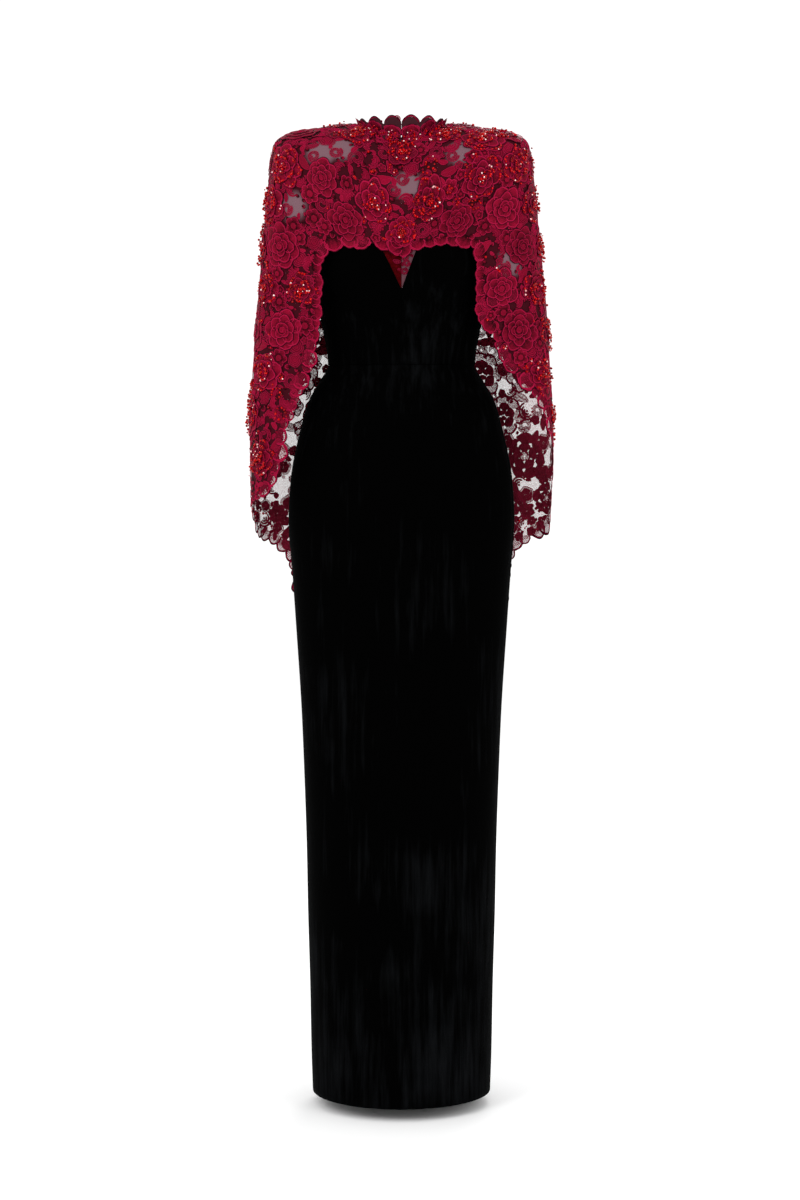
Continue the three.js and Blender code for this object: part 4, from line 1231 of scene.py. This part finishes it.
def collar_surface(along, down, lift):
    """The collar measured from its mean top edge, in millimetres round and down."""
    turn = np.degrees(along / NECK_ROUND)
    side = np.sin(np.radians(turn)) ** 2
    height = COLLAR_HIGH * (1 - side) + COLLAR_LOW * side
    return collar_point(turn, 1 - down / height, lift, loops=False)


turn = np.linspace(180 + COLLAR_GAP, 540 - COLLAR_GAP, 241)[None, :] + np.zeros((7, 1))
share = np.linspace(0, 1, 7)[:, None] * (NET_LEVEL + NET_WAVE * loop_wave(turn) ** 0.7)
wall = collar_point(turn, share, 0.6 + 0 * turn)
place = np.stack([np.radians(turn) * NECK_ROUND, share * 25], -1).reshape(-1, 2)
band_of_net = make_mesh("collar_net", wall.reshape(-1, 3), grid_faces(240, 6, False), place * MM)
# The collar's net is the front's dark net, almost all painted shade.
band_of_net.data.materials.append(net_with_painted_shade)
add_shade(band_of_net, 0.12)
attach(band_of_net, "gown")
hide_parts("collar")


def on_collar(kind, variant, degrees, down, turned_by, size, lift, tone=1):
    spot = math.radians(degrees) * NECK_ROUND, down
    return motif_at(kind, variant, spot, size, turned_by, lift, tone=tone)


# A lobe for each loop, lower at the sides, then two rows of small motifs and a scatter of tiny ones.
collar_motifs = []
for k in range(COLLAR_LOOPS):
    middle = 180 + (k + 0.5) * 360 / COLLAR_LOOPS
    behind = abs(middle - 360) > 80
    at_side = 60 < abs(middle - 360) < 120
    size = chance.uniform(0.95, 1.05) if at_side else chance.uniform(1.28, 1.46)
    down = 10 if at_side else 9 if behind else 3
    collar_motifs.append(on_collar("lobe", 3 if behind else 2, middle, down,
                                   math.pi + chance.uniform(-0.12, 0.12), size, 1.0 + 0.3 * (k % 2), 0.85))
for k in range(34):
    collar_motifs.append(on_collar("small", (0, 4, 1)[k % 3], 187 + k * 346 / 33, 12.5,
                                   chance.uniform(0, 6.28), chance.uniform(0.85, 1.05), 1.4))
for k in range(30):
    middle = 186 + k * 348 / 29
    down = 21 if abs(math.cos(math.radians(middle))) > 0.7 else 15
    collar_motifs.append(on_collar("small", (4, 0, 4)[k % 3], middle, down,
                                   chance.uniform(0, 6.28), chance.uniform(0.8, 1.0), 1.2))
for k in range(60):
    collar_motifs.append(on_collar("tiny", k % 3, 184 + k * 352 / 59, chance.uniform(6, 24),
                                   chance.uniform(0, 6.28), 1.1, 1.8))
stitched, spots = drape_motifs(collar_motifs, collar_surface)
work = embroidery("collar_embroidery", stitched)
sewn = np.concatenate([own for one, own in spots])
sewn = sewn[(sewn[:, 1] < -20) & (chance.random(len(sewn)) < 0.55)]
beads = bead_cluster("collar_beads", sewn, chance.uniform(1.2, 1.8, len(sewn)))


# Covered buttons
# Two small domes covered in the lace's satin, on thread shanks at the back of the collar, each with a
# rolled loop that comes across the opening.
BUTTON_RADIUS, BUTTON_DOME, BUTTON_BASE, BUTTON_BESIDE, LOOP_RADIUS = 4.2, 3.2, 1.4, 6, 5.2
dome_turns = np.linspace(0, np.pi / 2, 7)[:-1]
profile = [(1.5, 0.0), (1.5, 0.9), (3.6, 0.95), (4.15, 1.15)]
profile += [(BUTTON_RADIUS * math.cos(a), BUTTON_BASE + BUTTON_DOME * math.sin(a)) for a in dome_turns]
profile += [(0.15, BUTTON_BASE + BUTTON_DOME)]
radii, heights = np.array(profile).T[:, :, None]
shape = wheel(radii, np.linspace(0, 2 * np.pi, 25)[None, :], heights)
loop = wheel(-LOOP_RADIUS, -np.linspace(0.35, 2 * np.pi - 0.35, 22), 0.9)
loop = np.concatenate([[(-13, 1.6, 0.7)], loop, [(-13, -1.6, 0.7)]])
covered = join([part(shape, SATIN, 0.9, flipped=True), cord(loop, 1.6, 0.7)])
button_turn = math.radians(180 + BUTTON_BESIDE)
out = np.array([math.sin(button_turn), -math.cos(button_turn), 0])
beside = np.array([out[1], -out[0], 0])
for node, share in (("collar_button_upper", 0.78), ("collar_button_lower", 0.36)):
    seat = collar_point(np.array(180.0 + BUTTON_BESIDE), np.array(share), np.array(LACE + 2 * SEAM))
    placed_button = seat + covered["points"] @ np.array([beside, (0, 0, 1), out])
    button = embroidery(f"{node}_covered", {**covered, "points": placed_button})
    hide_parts(node)


# Lace in the V notch
# The left half is deep red lace, and the right half is grey net, partly painted shade, with curls of cord
# on it. A seam runs down the middle.
NOTCH_FOOT, NOTCH_TOP = NOTCH_POINT + 3, 204
notch_red, nodes, skin = new_material("notch_red_lace")
place = add_node(nodes, "ShaderNodeUVMap", uv_map="cloth").outputs["UV"]
cells = add_node(nodes, "ShaderNodeTexVoronoi", feature="DISTANCE_TO_EDGE", Vector=place, Scale=420.0)
cells = cells.outputs["Distance"]
blotches = worked_out(nodes, "ADD", cells, noise(nodes, place, 110.0, 4.0))
set_inputs(skin, {
    "Base Color": tinted(nodes, blotches, 0.42, 0.95, (0.022, 0.0001, 0.0005), (0.072, 0.0004, 0.002)),
    "Normal": bumped(nodes, cells, 0.5, 0.0005), "Roughness": 0.6, "Specular IOR Level": 0.01,
})


def notch_surface(aside, down, lift):
    z = np.maximum(NOTCH_TOP - down, NOTCH_FOOT)
    edge = np.maximum(notch_half(z, aside) - SEAM, 0.4)
    aside = np.clip(aside, -edge, edge)
    return body_point(angle_aside(aside, z, 0), z, lift)


# Each motif's kind and variant, then how far it lies from the seam and down from the notch's top.
NOTCH_MOTIFS = {
    "left": (("small", 3, 12, 30), ("small", 3, 7, 47), ("tiny", 2, 4, 60), ("small", 2, 17, 16)),
    "right": (("small", 2, 11, 31), ("small", 2, 5, 41), ("small", 2, 9, 50), ("small", 2, 4, 62),
              ("tiny", 1, 15, 40), ("small", 2, 16, 20), ("small", 2, 7, 22), ("tiny", 1, 3, 52)),
}
for sign, side, ground, tone in ((-1, "left", notch_red, 0.62), (1, "right", net_with_painted_shade, 0.6)):
    z = np.linspace(NOTCH_FOOT, NOTCH_TOP, 31)[:, None] + np.zeros(9)
    width = notch_half(z, sign) - SEAM
    aside = SEAM / 2 + (width - SEAM / 2) * np.linspace(0, 1, 9)
    lift = 1.0 - 0.5 * np.exp(-(aside / 1.5) ** 2)
    points = body_point(sign * angle_aside(aside, z, 0), z, lift).reshape(-1, 3)
    flat_places = np.stack([sign * aside, z], -1).reshape(-1, 2)
    half = make_mesh(f"notch_insert_{side}_cloth", points, grid_faces(8, 30, sign < 0), flat_places * MM)
    half.data.materials.append(ground)
    add_shade(half, 0.42)
    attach(half, "gown")
    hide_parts(f"notch_insert_{side}")
    chosen = [motif_at(kind, variant, (sign * x, down), 0.9, chance.uniform(0, 6.28), 1.0, tone=tone)
              for kind, variant, x, down in NOTCH_MOTIFS[side]]
    work = embroidery(f"notch_insert_{side}_embroidery", drape_motifs(chosen, notch_surface)[0])


# Back zip
# A closed zip of black coil teeth on a woven tape, from the top of the bodice to a hand below the waist.
# Its slider and pull keep their solid form in darkened metal.
ZIP_HEAD, TOOTH_PITCH, TOOTH_BESIDE, TOOTH_LIFT = 166, 1.5, 0.35, 1.1
zip_black, nodes, skin = new_material("zip_black")
place = nodes.new("ShaderNodeTexCoord").outputs["Object"]
weave = add_node(nodes, "ShaderNodeTexWave", Vector=place, Scale=700.0, Distortion=2.0).outputs["Fac"]
set_inputs(skin, {
    "Base Color": tinted(nodes, weave, 0.2, 0.8, (0.003, 0.003, 0.0035), (0.014, 0.014, 0.016)),
    "Normal": bumped(nodes, weave, 0.3, 0.0003), "Roughness": 0.45,
})

z = np.linspace(ZIP_FOOT + SEAM, ZIP_HEAD, 116)[:, None] + np.zeros(3)
aside = np.linspace(-0.5, 0.5, 3)[None, :] * ZIP_WIDTH + 0 * z
tape = body_point(np.pi + angle_aside(aside, z, np.pi), z, 0.5 + 0 * z).reshape(-1, 3)
bpy.ops.object.select_all(action="DESELECT")
bpy.ops.mesh.primitive_cube_add(size=1)
tooth = bpy.context.object
soft = tooth.modifiers.new("soft", "BEVEL")
soft.width = 0.2
soft.segments = 1
bpy.ops.object.modifier_apply(modifier=soft.name)
tooth_points = np.array([v.co[:] for v in tooth.data.vertices]) * (1.5, 0.8, 0.9)
tooth_faces = [list(p.vertices) for p in tooth.data.polygons]
bpy.data.objects.remove(tooth)
points, faces = [tape], grid_faces(2, 115, True)
start = len(tape)
for k, height in enumerate(np.arange(ZIP_FOOT + 2, ZIP_HEAD - 1, TOOTH_PITCH)):
    seat = body_point(np.array(np.pi), np.array(height), np.array(TOOTH_LIFT))
    points.append(seat + tooth_points + (TOOTH_BESIDE if k % 2 else -TOOTH_BESIDE, 0, 0))
    faces += [[i + start for i in face] for face in tooth_faces]
    start += len(tooth_points)
chain = make_mesh("zip_chain", np.concatenate(points), faces, smooth=False)
chain.data.materials.append(zip_black)
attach(chain, "gown")
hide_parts("back_zip")

dark_metal, nodes, skin = new_material("dark_metal")
wear = noise(nodes, nodes.new("ShaderNodeTexCoord").outputs["Object"], 350.0, 6.0, 0.7)
set_inputs(skin, {
    "Base Color": tinted(nodes, wear, 0.35, 0.7, (0.012, 0.012, 0.013), (0.06, 0.06, 0.065)),
    "Roughness": tinted(nodes, wear, 0.3, 0.7, (0.24, 0.24, 0.24), (0.5, 0.5, 0.5)),
    "Metallic": 0.9,
})
for node in ("zip_slider", "zip_pull"):
    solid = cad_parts[node]
    solid.data.materials.clear()
    solid.data.materials.append(dark_metal)
